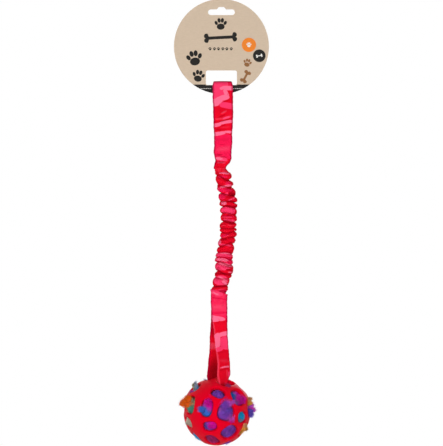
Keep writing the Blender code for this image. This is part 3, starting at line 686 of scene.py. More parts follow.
@dataclass(frozen=True)
class ClothFinish(Finish):
    """Printed plain-weave cloth, with painted highlights and painted shade in its creases and
    along its edges.

    Attributes:
        name: material name.
        edged, creased: colours of the painted shade along the cloth's edges and in its creases.
        thread_pitch: distance between threads.
    """

    # The darkest red is the painted shade in the sleeve's valleys.
    COLORS = {RED: tint(230, 10, 38), CRIMSON: tint(240, 24, 76), HOT: tint(252, 56, 104),
              LIGHT: tint(254, 108, 144), PAINTED_SHADE: tint(178, 0, 26)}

    name: str
    painted_edge_shade: Color = tint(150, 0, 52)
    painted_crease_shade: Color = tint(146, 0, 18)
    thread_pitch: float = 0.42 * MM

    def build(self) -> bpy.types.Material:
        """Make the material from the print's fields, the painted light and shade, and the
        cloth's threads.

        Returns:
            The material.
        """
        material, nodes, inputs = self.start(
            self.name, 0.62, Sheen_Roughness=0.5, Specular_IOR_Level=0.05,
            Specular_Tint=tint(200, 60, 96))
        cloth = nodes.field("cloth", "Vector")
        printed = self.shared(nodes, "camouflage", {
            "Fields": nodes.field("tones", "Color"), "PaintedShade": nodes.field("tones", "Alpha"),
            "Place": cloth})
        mottle = self.mottle(nodes, 160.0, 1400.0)
        weave = self.shared(nodes, "woven_threads", {
            "Cloth": cloth, "Threads": math.pi / self.thread_pitch})
        shade = nodes.math("ADD", nodes.math("MULTIPLY", mottle, 0.28),
                           nodes.math("MULTIPLY", weave, 0.14))
        # Painted light: above zero the stored field paints a highlight towards the light pink,
        # below zero it paints crease shade, and the rim field paints shade along the edges.
        worn = nodes.field("worn")
        for share, color in ((worn, self.COLORS[LIGHT]),
                             (nodes.math("MULTIPLY", worn, -1.0), self.painted_crease_shade),
                             (nodes.field("rim"), self.painted_edge_shade)):
            printed = nodes.blend(share, printed, color)
        nodes.feed(nodes.lit(nodes.math("ADD", shade, 0.79), printed), inputs["Base Color"])
        self.bump(nodes, inputs, weave, 0.06 * MM, 0.5)
        return material


@dataclass(frozen=True)
class RubberFinish(Finish):
    """Satin moulded rubber, slightly clouded and pitted.

    Attributes:
        color, shade: its colour and the colour of its clouds.
    """

    color: Color = tint(232, 2, 36)
    shade: Color = tint(204, 0, 27)

    def build(self) -> bpy.types.Material:
        """Make the rubber.

        Returns:
            The material.
        """
        material, nodes, inputs = self.start("lattice_rubber", 0.5, Specular_IOR_Level=0.2,
                                             Specular_Tint=tint(206, 20, 52))
        mottle = self.mottle(nodes, 90.0, 700.0)
        nodes.feed(nodes.blend(nodes.math("MULTIPLY", mottle, 0.55), self.color, self.shade),
                   inputs["Base Color"])
        nodes.feed(nodes.scaled(mottle, 0.2, 0.4), inputs["Roughness"])
        self.bump(nodes, inputs, mottle, 0.1 * MM, 0.25)
        return material


@dataclass(frozen=True)
class PlushFinish(Finish):
    """Tie-dyed faux fur, coloured by each strand's stored dye, with painted shade near the
    holes' rims.

    Attributes:
        name: material name.
        bump_depth: bump depth, or 0 for strands that need none.
    """

    name: str
    bump_depth: float = 0.0

    def build(self) -> bpy.types.Material:
        """Make the fur from the stored dye and its painted shade.

        Returns:
            The material.
        """
        material, nodes, inputs = self.start(self.name, 0.7, Sheen_Weight=0.1,
                                             Sheen_Roughness=0.4, Specular_IOR_Level=0.05)
        mottle = self.mottle(nodes, 500.0, 2500.0)
        nodes.feed(nodes.lit(nodes.scaled(mottle, 0.5, 0.75), nodes.field("dye", "Color")),
                   inputs["Base Color"])
        if self.bump_depth:
            self.bump(nodes, inputs, mottle, self.bump_depth, 1.0)
        return material


@dataclass(frozen=True)
class BoardFinish(Finish):
    """Unbleached board with fibres and specks.

    Attributes:
        color, fibre, fleck: colours of the board, its fibres and its specks.
    """

    color: Color = tint(204, 184, 162)
    fibre: Color = tint(174, 152, 126)
    fleck: Color = tint(219, 202, 180)

    def build(self) -> bpy.types.Material:
        """Make the board: short fibres along x, and a few paler flecks.

        Returns:
            The material.
        """
        material, nodes, inputs = self.start("kraft_board", 0.82, Specular_IOR_Level=0.15)
        drawn = nodes.add("Mapping", {"Vector": nodes.place(), "Scale": (1.0, 1.0, 3.2)})
        drawn = drawn.outputs[0]
        mottle = self.mottle(nodes, 220.0, 1500.0, drawn)
        cells = nodes.add("TexVoronoi", {"Vector": drawn, "Scale": 420.0}).outputs["Distance"]
        color: object = self.color
        for mask, start, end, share, other in ((mottle, 0.42, 0.62, 0.2, self.fibre),
                                               (cells, 0.12, 0.05, 0.5, self.fleck)):
            mask = nodes.add("MapRange", {0: mask, 1: start, 2: end}).outputs[0]
            color = nodes.blend(nodes.math("MULTIPLY", mask, share), color, other)
        nodes.feed(color, inputs["Base Color"])
        self.bump(nodes, inputs, mottle, 0.05 * MM, 0.3)
        return material


@dataclass(frozen=True)
class InkFinish(Finish):
    """Printing ink that lets a little of the board's grain through.

    Attributes:
        name: material name.
        color: the ink's colour.
    """

    name: str
    color: Color

    def build(self) -> bpy.types.Material:
        """Make the ink.

        Returns:
            The material.
        """
        material, nodes, inputs = self.start(self.name, 0.6, Specular_IOR_Level=0.12)
        level = nodes.scaled(self.mottle(nodes, 300.0, 2400.0), 0.3, 0.85)
        nodes.feed(nodes.lit(level, self.color), inputs["Base Color"])
        return material


@dataclass(frozen=True)
class PlainFinish(Finish):
    """Moulded, spun or covered stuff of one colour with its own grain.

    Attributes:
        name: material name.
        color, shade: its colour and the colour of its unevenness.
        roughness: the shader's roughness.
        grain: noise scale.
        depth: bump depth.
        stretch: how much longer the grain is across than down.
    """

    name: str
    color: Color
    shade: Color
    roughness: float
    grain: float
    depth: float
    stretch: float = 1.0

    def build(self) -> bpy.types.Material:
        """Make the material.

        Returns:
            The material.
        """
        material, nodes, inputs = self.start(self.name, self.roughness)
        place = nodes.add("Mapping", {"Vector": nodes.place(),
                                      "Scale": (1.0, 1.0, self.stretch)}).outputs[0]
        mottle = self.mottle(nodes, self.grain, 6 * self.grain, place)
        nodes.feed(nodes.blend(mottle, self.color, self.shade), inputs["Base Color"])
        self.bump(nodes, inputs, mottle, self.depth, 0.6)
        return material


def dress(obj: bpy.types.Object, material: bpy.types.Material) -> None:
    """Give a piece its only material.

    Args:
        obj: the piece.
        material: its material.
    """
    obj.data.materials.clear()
    obj.data.materials.append(material)


# ------------------------------------------------------------ hang card


@dataclass
class HangCard:
    """The round board with its flat print: a band, bones, paws and two dots.

    Attributes:
        radius, center_drop: the board's circle.
        front: the board's printed face.
        ink: thickness of the print.
        band_drop: upper edge of the dark band.
        window: half width and lower edge of the window.
        dot, badge: x, drop and radius of the orange and of the dark disc.
        toes: a paw's pad and toes: x, drop, half sizes and turn, as shares of
            the paw's size.
    """

    radius: float = 53.2
    center_drop: float = 44.2
    front: float = -0.4 * MM
    ink: float = 0.03 * MM
    band_drop: float = 86.8
    window: tuple[float, float] = (17.6, 87.5)
    dot: Row = (30.8, 42.4, 8.0)
    badge: Row = (42.4, 54.6, 7.1)
    toes: tuple[Row, ...] = (
        (0.0, 0.0, 1.0, 0.78, 0), (-1.15, -0.95, 0.38, 0.55, -28), (-0.42, -1.6, 0.4, 0.6, -8),
        (0.42, -1.6, 0.4, 0.6, 8), (1.15, -0.95, 0.38, 0.55, 28))

    def plates(self, name: str, outlines: Sequence[Array], lift: float,
               ) -> bpy.types.Object:
        """Make thin printed plates in front of the board.

        Args:
            name: piece name.
            outlines: closed outlines of x and drop in millimetres.
            lift: extra distance in front of the board.

        Returns:
            The joined plates.
        """
        points, faces, start = [], [], 0
        for outline in outlines:
            count = len(outline)
            for y in (self.front - lift - self.ink, self.front - 0.2 * self.ink):
                points.append(np.stack((outline[:, 0] * MM, np.full(count, y),
                                        -outline[:, 1] * MM), 1))
            faces += [[start + i for i in face] for face in grid_faces(2, count, False)]
            start += 2 * count
        obj = make_piece(name, np.concatenate(points), faces)
        obj.data.shade_flat()
        return obj

    def placed(self, x: float, drop: float, u: Array, v: Array, turn: float) -> Array:
        """Turn an outline and move it to its place.

        Args:
            x, drop: where its middle goes.
            u, v: its points' coordinates.
            turn: turn in degrees.

        Returns:
            The outline's points.
        """
        u, v = turned(u, v, turn)
        return np.stack((x + u, drop + v), 1)

    def disc(self, x: float, drop: float, wide: float, tall: float, turn: float = 0.0) -> Array:
        """Outline an oval from its centre, half sizes and turn."""
        t = turns(40)
        return self.placed(x, drop, wide * np.cos(t), tall * np.sin(t), turn)

    def bone(self, x: float, drop: float, half: float, shaft: float, knob: float,
             turn: float) -> Array:
        """Outline a bone: a shaft with two round knobs at each end.

        Args:
            x, drop: its middle.
            half: distance from its middle to its knobs' centres.
            shaft: half the shaft's height.
            knob: radius of a knob.
            turn: turn in degrees.

        Returns:
            The closed outline.
        """
        t = np.radians(np.linspace(-118, 60, 14))
        rise = np.minimum(knob * (np.sin(t) - 0.82), -0.15 * knob)
        upper = np.concatenate(([[half - 0.9 * knob, -shaft]],
                                np.stack((half + knob * np.cos(t), rise), 1)))
        right = np.concatenate((upper, (upper * (1, -1))[::-1]))
        return self.placed(x, drop, *np.concatenate((right, -right)).T, turn)

    def paw(self, x: float, drop: float, size: float, turn: float) -> list[Array]:
        """Outline a paw print: a pad and four toes.

        Args:
            x, drop: the pad's middle.
            size: half the pad's width.
            turn: turn in degrees.

        Returns:
            Five closed outlines.
        """
        outlines = []
        for u, v, wide, tall, own in self.toes:
            u, v = turned(u, v, turn)
            outlines.append(self.disc(x + size * u, drop + size * v, size * wide, size * tall,
                                      turn + own))
        return outlines

    def band(self) -> Array:
        """Outline the dark band along the card's lower rim, round the window.

        Returns:
            The closed outline.
        """
        rim = self.radius - 0.05
        end = math.acos((self.band_drop - self.center_drop) / rim)
        t = np.linspace(-end, end, 60)
        arc = np.stack((rim * np.sin(t), self.center_drop + rim * np.cos(t)), 1)
        side, low = self.window
        return np.concatenate((arc, ((side, self.band_drop), (side, low), (-side, low),
                                     (-side, self.band_drop))))

    def dashes(self, first: float, last: float) -> list[Array]:
        """Outline a row of short plain dashes on the band.

        Args:
            first, last: where the dashes start and end.

        Returns:
            The closed outlines.
        """
        pitch, wide, drop, half = 2.1, 1.4, 91.4, 0.28
        corners = np.array(((0, -half), (wide, -half), (wide, half), (0, half)))
        return [corners + (x, drop) for x in np.arange(first, last, pitch)]

    def build(self, nodes: dict[str, bpy.types.Object]) -> None:
        """Dress the board and lay its print on it.

        Args:
            nodes: the frame's CAD nodes.
        """
        dress(nodes["hang_card"], BoardFinish().build())
        dark, flat = tint(30, 28, 26), 0.0
        dot_x, dot_drop, dot = self.dot
        badge_x, badge_drop, badge = self.badge
        pieces = (
            ("card_band", [self.band()], dark, flat),
            ("card_dark_motifs", [
                self.bone(-1.0, 34.2, 15.6, 1.7, 2.9, -3),
                self.disc(badge_x, badge_drop, badge, badge), *self.paw(-29.6, 61.0, 5.6, -10),
                *self.paw(-26.4, 80.2, 4.4, 12), *self.paw(-0.8, 22.0, 4.4, 0)], dark, flat),
            ("card_row", [outline for i in range(6) for outline in self.paw(
                -12.6 + 4.7 * i, 47.6, 1.15, -8 + 16 * (i % 2))], dark, flat),
            ("card_orange_dot", [self.disc(dot_x, dot_drop, dot, dot)],
             tint(230, 128, 44), flat),
            ("card_tan_motifs", [
                self.bone(27.0, 78.0, 5.0, 1.2, 2.2, -62), *self.paw(28.5, 64.5, 3.0, 16)],
             tint(140, 96, 60), flat),
            ("card_pale_motifs", [
                self.bone(badge_x, badge_drop, 2.6, 0.5, 1.0, -12),
                *self.paw(dot_x, dot_drop + 1.2, 1.8, 0),
                *self.dashes(-23.4, -11.0), *self.dashes(12.9, 24.0)],
             tint(225, 222, 216), self.ink),
        )
        for name, outlines, color, lift in pieces:
            obj = self.plates(name, outlines, lift)
            dress(obj, InkFinish(name + "_ink", color).build())
            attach(obj, "card")


# ---------------------------------------------------------- handle strap


@dataclass
class HandleStrap:
    """The handle: a flattened cloth tube folded over the card's strip.

    Attributes:
        thickness: the doubled cloth's thickness.
        fold_radius, fold_drop: inner radius and centre of the fold.
        drop: how far a leg reaches below the fold's centre.
        sewn: length of the legs' sewn end.
        gap: widest gap between the legs.
        growth_share: where the gap is widest, as a share of the open length.
        tail: how far the sewn end runs on into the hem.
        step: distance between stations.
        crown, fold_crown: the cloth's roundness, and what the fold adds.
        left, right: drops, and the edges' distances from the middle there.
        folds: short folds, as pleats takes them.
    """

    thickness: float = 2.6 * MM
    fold_radius: float = 3.0 * MM
    fold_drop: float = 87.1 * MM
    drop: float = 90.3 * MM
    sewn: float = 9.0 * MM
    gap: float = 10.4 * MM
    growth_share: float = 0.42
    tail: float = 4.0 * MM
    step: float = 0.75 * MM
    crown: float = 0.22
    fold_crown: float = 1.6
    left: tuple[Row, ...] = (
        (84, -9.6), (98.6, -9.9), (114.2, -9.3), (131, -8.9), (147.8, -8.2), (157.9, -8.4),
        (160.7, -8.8), (166.9, -7.9), (172.6, -7.1), (176, -7.9), (180.3, -8.5),
        (184.8, -7.3))
    right: tuple[Row, ...] = (
        (84, 11.9), (88.5, 12.7), (104, 13.0), (115.4, 13.2), (127.7, 13.0), (141.1, 12.2),
        (154.6, 12.1), (163.5, 11.2), (172.5, 10.6), (175.1, 9.0), (177, 7.0),
        (180.3, 4.9), (184.8, 4.6))
    folds: tuple[Row, ...] = (
        (5.2, 105.3, 4.4, 0.6, 16, -0.6), (8.6, 95.6, 4.0, 0.7, 70, -0.4),
        (2.0, 114.5, 12.0, 2.6, 3, -0.16), (2.0, 135.0, 12.0, 2.0, 3, -0.2),
        (3.0, 117.8, 3.6, 0.9, 26, 0.8), (1.0, 121.7, 4.2, 0.6, 18, -0.9),
        (6.0, 123.9, 5.2, 1.0, 17, 0.9), (-3.5, 125.3, 4.6, 0.8, 4, 0.6),
        (5.2, 126.6, 6.6, 0.6, 15, -0.9), (-4.0, 128.2, 5.0, 0.6, 6, -0.4),
        (1.5, 132.6, 3.4, 0.5, 16, -0.6), (-3.0, 137.2, 8.0, 0.7, 2, -0.5),
        (4.0, 134.6, 7.0, 1.2, 4, 0.4), (0.5, 154.0, 3.0, 0.6, 0, -0.5),
        (1.5, 148.0, 8.0, 1.6, 3, -0.2), (2.4, 158.6, 9.0, 2.6, 6, 0.5),
        (-3.0, 165.4, 3.6, 0.9, 0, -0.8), (2.5, 168.0, 3.8, 0.8, -8, -0.8),
        (-0.5, 170.8, 7.0, 1.1, -12, 0.5), (-2.0, 173.7, 5.2, 0.8, 2, -0.8),
        (-5.0, 177.0, 3.5, 1.0, 72, -0.3), (-1.0, 183.0, 6.0, 0.7, -6, -0.5))

    def leg(self) -> Array:
        """List one leg's middle line from its tail up to the fold's top.

        The inner face leaves the sewn end, opens to half the gap and closes
        to the fold's radius; the middle line lies half a thickness outside.

        Returns:
            Rows of distance from the middle plane, and height.
        """
        half, split = 0.5 * self.thickness, self.drop - self.sewn
        share = np.linspace(1.0, 0.0, 120)
        opened = self.fold_radius + (0.5 * self.gap - self.fold_radius) * smooth(
            share / self.growth_share)
        closed = 1.0 - smooth((share - self.growth_share) / (1.0 - self.growth_share))
        below = self.fold_radius + (split - self.fold_radius) * share
        sewn = np.linspace(self.drop + self.tail, split, 30)[:-1]
        turn = np.linspace(0.0, 0.5 * math.pi, 16)[1:]
        radius = self.fold_radius + half
        depth = np.concatenate((np.full(len(sewn), half), opened * closed + half,
                                radius * np.cos(turn)))
        low = np.concatenate((sewn, below, self.fold_radius - radius * np.sin(turn)))
        return np.stack((depth, -self.fold_drop - low), 1)

    def path(self) -> Array:
        """Join the front leg, the fold and the back leg into one line.

        Returns:
            Places, evenly spaced.
        """
        leg = self.leg()
        front = np.stack((0 * leg[:, 0], -leg[:, 0], leg[:, 1]), 1)
        back = front[::-1][1:] * (1, -1, 1)
        return along_line(np.concatenate((front, back)), self.step)

    def build(self, material: bpy.types.Material) -> None:
        """Make the strap, whose sewn tail runs on into the hem.

        Args:
            material: the printed cloth.
        """
        middle = self.path()
        across = np.tile((1.0, 0.0, 0.0), (len(middle), 1))
        outward = np.cross(across, unit(np.gradient(middle, axis=0)))
        drop = -middle[:, 2] / MM
        behind = smooth(0.5 + middle[:, 1] / (4 * MM))
        wave = 0.12 * np.sin(0.41 * drop) + 0.1 * np.sin(1.1 * drop + 1.0)
        left = through(self.left, drop) + wave + 0.5 * behind
        right = through(self.right, drop) - wave - 0.4 * behind
        share, edge, side = BandRing().shares()
        outside = side > 0.5
        x = left[:, None] + (right - left)[:, None] * share
        drop = drop[:, None] + 0 * x
        height = pleats(x, drop, self.folds)
        crown = (self.crown * np.sin(math.pi * share) ** 0.7
                 + self.fold_crown * (1.0 - smooth((drop - 85.0) / 5.0)))
        soft = 0.16 * np.sin(0.33 * x + 0.21 * drop) * np.sin(math.pi * share)
        flat = smooth((drop - 90.0) / 8.0)
        relief = (crown + (height + soft) * flat) * outside * MM
        points = sweep_band(middle, across, outward, left * MM, right * MM,
                            0.5 * self.thickness - 0.1 * MM, relief)
        along = np.arange(len(middle))[:, None] * self.step + 0 * x
        # Painted shade along both edges and over the fold's top, and painted highlights on the
        # folds' ridges with painted shade in their creases.
        rim = np.maximum(0.65 * ((edge != 0.0) | (share == 0.0) | (share == 1.0)),
                         0.8 * (1 - smooth(drop - 85.9)) * outside)
        worn = (0.42 * height + 0.35 * np.minimum(height, 0.0)) * flat * outside
        obj = make_sweep("handle_strap", points, tones=ClothPrint().tones(points),
                         cloth=np.stack((along, x * MM, 0.0 * x), -1), rim=rim, worn=worn)
        dress(obj, material)
        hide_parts("handle_loop")
        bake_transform(obj)


# ---------------------------------------------------------------- bungee


@dataclass(frozen=True)
class Hem:
    """The plain end of the sleeve.

    Attributes:
        name, node, body: its piece, its CAD node and the body it rides on.
        top, bottom: the drops it reaches between.
        widths, squeezes: radius, and depth as a share of it, down the hem.
        slant: how far its upper edge rises towards the left.
        turned_in: 1 where the upper edge is rolled in and stitched over.
    """

    name: str
    node: str
    body: str
    top: float
    bottom: float
    widths: tuple[Row, ...]
    squeezes: tuple[Row, ...]
    slant: float = 0.0
    turned_in: float = 0.0


@dataclass
class Bungee:
    """The gathered sleeve over its elastic, with a hem at each end.

    Attributes:
        columns, rows: size of the sleeve's grid of points.
        wall, least_radius, least_bore: the cloth's thickness and least radii.
        end_radius: the sleeve's radius in the upper hem.
        mean_radius, gathering: the flat cloth's girth and length, as the mean
            radius and the length for each millimetre of drop.
        depth_share: the sleeve's depth as a share of its width.
        top, bottom: the drops that the sleeve reaches between.
        elastic: drops of its ends, half width and depth share.
        hems: the two hems.
        center: drops, and the middle line's distance to the right there.
        smooth_ruffles: drop and half height of ruffles without fine creases.
        creases: pressed folds, as pleats takes them.
    """

    columns: int = 104
    rows: int = 460
    wall: float = 0.8
    least_radius: float = 4.3
    least_bore: float = 3.8
    end_radius: float = 5.0
    mean_radius: float = 8.6
    gathering: float = 1.6
    depth_share: float = 0.8
    top: float = 183.4
    bottom: float = 321.2
    elastic: Row = (181.0, 327.6, 3.3, 0.5)
    hems: tuple[Hem, ...] = (
        Hem("top_hem", "upper_cuff", "bungee", 179.4, 186.6,
            ((0.0, 6.3), (0.35, 6.6), (0.7, 7.6), (1.0, 7.2)),
            ((0.0, 0.6), (0.5, 0.72), (1.0, 0.8))),
        Hem("bottom_hem", "lower_cuff", "lower_seam", 318.6, 331.2,
            ((0.0, 10.2), (0.2, 9.5), (0.6, 9.2), (1.0, 8.9)),
            ((0.0, 0.7), (0.35, 0.56), (0.7, 0.36), (1.0, 0.27)), 3.2, 1.0))
    center: tuple[Row, ...] = (
        (180.3, -1.5), (182.6, -0.6), (185.9, 1.3), (189.3, 2.1), (196, 3.7), (205, 5.6),
        (211.7, 6.8), (220.6, 8), (229.6, 8.1), (238.6, 8.4), (247.5, 7.8), (256.5, 7.4),
        (263.2, 5.9), (272.2, 4.5), (278.9, 3.6), (285.6, 3.1), (292.3, 3.2), (299, 2.5),
        (306.9, -0.1), (313.6, -1.2), (320.3, -2.5), (328.2, -2.7), (340.0, -2.9))
    # Valleys between ruffles down the left and the right side, with their
    # depths, and the ruffles' reach from the middle line on each side
    left_valleys: Row = (182.6, 189.3, 199.4, 208.3, 217.0, 222.9, 231.0, 240.5, 248.4, 252.8,
                         259.0, 267.7, 274.4, 279.7, 285.6, 296.5, 302.9, 312.5, 318.5)
    right_valleys: Row = (183.1, 194.3, 202.2, 212.2, 219.0, 225.1, 232.0, 240.8, 247.5, 251.7,
                          258.4, 264.9, 275.8, 282.2, 288.4, 300.0, 304.5, 312.5, 319.2)
    left_depths: Row = (2.0, 2.4, 1.4, 3.9, 1.8, 3.2, 2.2, 3.4, 1.2, 1.4, 2.4, 2.6, 1.6, 1.2,
                        3.2, 3.2, 1.4, 1.8, 2.0)
    right_depths: Row = (3.0, 4.6, 4.6, 2.6, 4.0, 1.4, 1.2, 3.2, 2.2, 2.6, 2.6, 2.6, 1.2, 1.2,
                         2.2, 1.2, 1.2, 1.4, 1.8)
    left_reach: Row = (8.5, 9.1, 9.8, 10.4, 10.4, 10.0, 9.4, 9.7, 10.2, 9.0, 9.2, 9.7, 9.9,
                       10.5, 10.9, 10.3, 9.7, 9.5, 9.0)
    right_reach: Row = (9.5, 9.5, 9.4, 10.4, 10.5, 9.4, 9.1, 9.0, 9.2, 9.6, 9.7, 9.7, 9.2, 9.6,
                        10.4, 10.2, 9.2, 8.9, 9.0)
    creases: tuple[Row, ...] = (
        (7.5, 201.0, 4.4, 0.7, 14, 0.6), (7.4, 203.6, 4.6, 0.6, 14, -0.7),
        (1.0, 197.5, 3.0, 0.7, 70, -0.5), (11.5, 212.0, 4.0, 0.6, 32, -0.8),
        (12.0, 215.0, 4.0, 0.7, 24, 0.6), (10.5, 217.0, 4.4, 0.6, 26, -0.8),
        (10.0, 221.0, 4.4, 0.6, -18, -0.5), (6.5, 233.4, 7.0, 0.6, 0, -0.7),
        (6.5, 235.2, 7.0, 0.6, -2, 0.5), (6.0, 236.8, 7.0, 0.5, -4, -0.6),
        (9.0, 232.0, 3.0, 0.6, 40, -0.5), (12.0, 246.0, 1.2, 1.0, 0, -0.7),
        (5.0, 244.5, 8.0, 0.7, 2, 0.4), (5.0, 256.6, 5.0, 0.7, 18, 0.5),
        (5.5, 254.6, 6.0, 0.6, 22, -0.7), (8.0, 262.0, 4.0, 0.6, -30, -0.6),
        (3.0, 271.0, 4.5, 0.6, 8, -0.5), (4.0, 277.6, 7.0, 0.6, -2, -0.5),
        (5.0, 284.5, 6.0, 0.6, -10, -0.7), (4.5, 289.8, 7.0, 0.6, -14, -0.9),
        (3.0, 293.0, 5.0, 0.7, -16, 0.4), (7.5, 294.2, 3.0, 0.7, -4, -1.0),
        (9.5, 296.4, 2.6, 0.6, 4, 0.8), (9.0, 298.6, 3.0, 0.6, 6, -0.9),
        (1.0, 304.6, 6.0, 0.7, -28, 0.4), (-1.0, 307.0, 6.0, 0.8, -34, -0.3),
        (-2.0, 315.6, 5.0, 0.8, -6, 0.5))
    smooth_ruffles: tuple[Row, ...] = ((227.6, 2.6), (306.2, 3.4), (194.0, 2.0))

    def axis_x(self, drop: Array) -> Array:
        """Give the sideways place of the middle line, in millimetres."""
        return through(self.center, drop)

    def radii(self, drop: Array, turn: Array) -> tuple[Array, Array]:
        """Give the sleeve's distance from its middle line.

        Between two valleys the cloth swells as the root of a sine, and the
        valleys, their depths and the reach run smoothly from the left side to
        the right one round the front and the back.

        Args:
            drop: rows of drops.
            turn: columns of turns, 0 at the right and a quarter at the back.

        Returns:
            Radii in millimetres, rows by columns, and the share by which the
            cloth dips into a valley or a fine crease.
        """
        count = np.arange(len(self.left_valleys), dtype=float)
        to_right = smooth(0.5 + 0.5 * np.cos(turn))
        behind = smooth(1.6 * np.sin(turn) - 0.5)
        left, right = (np.interp(drop, valleys, count)[:, None]
                       for valleys in (self.left_valleys, self.right_valleys))
        phase = left * (1 - to_right) + right * to_right
        phase = phase + 0.1 * np.sin(2 * turn + 0.9 * phase) + 0.42 * behind * np.sin(
            1.7 * phase + 1.0)
        reach, depth = (
            np.interp(phase, count, left) * (1 - to_right)
            + np.interp(phase, count, right) * to_right
            for left, right in ((self.left_reach, self.right_reach),
                                (self.left_depths, self.right_depths)))
        swell = np.abs(np.sin(math.pi * phase)) ** 0.46
        gathers = 0.16 * np.sin(9 * turn + 2.3 * phase) + 0.1 * np.sin(17 * turn - 3.1 * phase)
        facing = np.sin(turn) ** 2
        deep = (1 - facing) * 1.4 * depth + facing * np.maximum(2.6, 1.9 * depth)
        lines = np.abs(np.sin(math.pi * 2.5 * phase + 1.2 * np.sin(2 * turn + 0.8 * phase)
                              + 0.7 * np.sin(5 * turn - 1.7 * phase)))
        plain = sum(bell(drop, middle, half) for middle, half in self.smooth_ruffles)[:, None]
        fine = (1.0 - lines**0.7) * swell * (1.0 - np.minimum(plain, 1.0)) * (
            0.65 + 0.35 * np.sin(3 * turn + 1.9 * phase))
        radius = reach - deep * (1.0 - swell) + gathers * swell - 0.62 * fine
        return (np.maximum(radius, self.least_radius),
                np.maximum((1.0 - swell) ** 1.15, 0.75 * fine))

    def wall_rows(self, drop: Array, turn: Array, radius: Array, squeeze: Array) -> Array:
        """Place a tube's points round the middle line.

        Args:
            drop: drop of each point.
            turn: turns of the columns.
            radius: radii in millimetres, rows by columns.
            squeeze: the depth's share of the width, for each row.

        Returns:
            Points in metres.
        """
        x = self.axis_x(drop) + radius * np.cos(turn)
        y = radius * squeeze[:, None] * np.sin(turn)
        return np.stack((x, y, -drop), -1) * MM

    def tube(self, name: str, drop: Array, radius: Array, squeeze: Array, sag: Array,
             **shades: Array) -> bpy.types.Object:
        """Make a cloth tube with an inner and an outer wall.

        Args:
            name: piece name.
            drop: drops of the rows.
            radius: outer radii, rows by columns.
            squeeze: the depth's share of the width, for each row.
            sag: how far each point hangs below its row, in millimetres.
            shades: worn and rim, the painted light and shade at each point.

        Returns:
            The tube.
        """
        turn = turns(self.columns)
        outer, inner = (self.wall_rows(drop[:, None] + sag + 0 * radius, turn, reach, squeeze)
                        for reach in (radius, np.maximum(radius - self.wall, self.least_bore)))
        points = np.concatenate((outer, inner[::-1]))
        travel = np.concatenate((drop, drop[::-1]))[:, None] * self.gathering * MM
        girth = turn * self.mean_radius * MM
        cloth = np.stack(np.broadcast_arrays(travel, girth, 0.0), -1)
        shades = {key: np.concatenate((values + 0 * radius, (values + 0 * radius)[::-1]))
                  for key, values in shades.items()}
        return make_sweep(name, points, True, tones=ClothPrint().tones(points), cloth=cloth,
                          **shades)

    def build_sleeve(self, material: bpy.types.Material) -> bpy.types.Object:
        """Make the ruffled sleeve.

        Args:
            material: the printed cloth.

        Returns:
            The sleeve.
        """
        turn, share = turns(self.columns), np.linspace(0.0, 1.0, self.rows)
        drop = self.top + (self.bottom - self.top) * share
        radius, dip = self.radii(drop, turn)
        x = self.axis_x(drop)[:, None] + radius * np.cos(turn)
        front = smooth(-1.2 * np.sin(turn) + 0.2)
        crease = front * pleats(x, drop[:, None] + 0 * radius, self.creases)
        ends = smooth(np.minimum(share * 60, 1.0))[:, None]
        radius = self.end_radius + (radius + crease - self.end_radius) * ends
        sag = 0.13 * (radius - 8.0) + 0.22 * np.sin(3 * turn + 0.3 * drop[:, None])
        # Painted light: a slight overall lightening, painted highlights and shade following the
        # pressed creases, and painted shade in the ruffles' valleys and fine creases.
        obj = self.tube("gathered_sleeve", drop, radius, np.full(len(drop), self.depth_share),
                        sag, worn=0.04 + 0.4 * crease - 1.05 * dip, rim=0 * radius)
        dress(obj, material)
        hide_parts("bungee_sleeve")
        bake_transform(obj)
        return obj

    def build_hem(self, hem: Hem, material: bpy.types.Material) -> bpy.types.Object:
        """Make a hem: a plain tube with small folds that end at its seam.

        Args:
            hem: its sizes.
            material: the printed cloth.

        Returns:
            The hem.
        """
        turn, share = turns(self.columns), np.linspace(0.0, 1.0, 46)
        below = 1 - share[:, None]
        folds = (0.14 * np.sin(7 * turn + 5 * share[:, None])
                 + 0.1 * np.sin(13 * turn - 9 * share[:, None])) * smooth(4 * below)
        radius = through(hem.widths, share)[:, None] + folds
        rolled = bell(share[:, None], 0.12, 0.1) * (0.2 - 0.35 * np.cos(turn))
        radius = radius + hem.turned_in * (rolled - 0.7 * smooth(1 - share[:, None] / 0.07))
        line = 0.4 * hem.turned_in * bell(share[:, None], 0.62, 0.045)
        # Painted light: a slight overall lightening, painted highlights and shade following the
        # small folds, a darker line round the turned-in hem and a darker upper end, and painted
        # shade down the hem's left and right sides.
        obj = self.tube(hem.name, hem.top + (hem.bottom - hem.top) * share, radius,
                        through(hem.squeezes, share), hem.slant * np.cos(turn) * below,
                        worn=0.08 + 0.3 * folds - line - 0.5 * bell(share[:, None], 0.0, 0.07),
                        rim=0.55 * np.cos(turn) ** 16)
        dress(obj, material)
        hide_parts(hem.node)
        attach(obj, hem.body)
        return obj

    def build_elastic(self) -> None:
        """Make the ribbed elastic that the sleeve is gathered on."""
        top, bottom, half_width, depth_share = self.elastic
        turn, drop = turns(24), np.linspace(top, bottom, 150)
        wide = half_width * (1.0 + 0.02 * np.sin(4.0 * drop))[:, None] + 0 * turn
        points = self.wall_rows(drop[:, None] + 0 * turn, turn, wide,
                                np.full(len(drop), depth_share))
        obj = make_sweep("elastic_band", points)
        dress(obj, PlainFinish("covered_elastic", tint(232, 228, 220), tint(196, 190, 180),
                               0.8, 260.0, 0.2 * MM, 4.0).build())
        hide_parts("elastic_core")
        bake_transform(obj)

    def build(self, sleeve_cloth: bpy.types.Material, hem_cloth: bpy.types.Material) -> None:
        """Make the whole bungee.

        Args:
            sleeve_cloth: printed cloth of the sleeve.
            hem_cloth: printed cloth of the hems.
        """
        hems = [self.build_hem(hem, hem_cloth) for hem in self.hems]
        sleeve = self.build_sleeve(sleeve_cloth)
        self.build_elastic()


# ------------------------------------------------------------------ ball


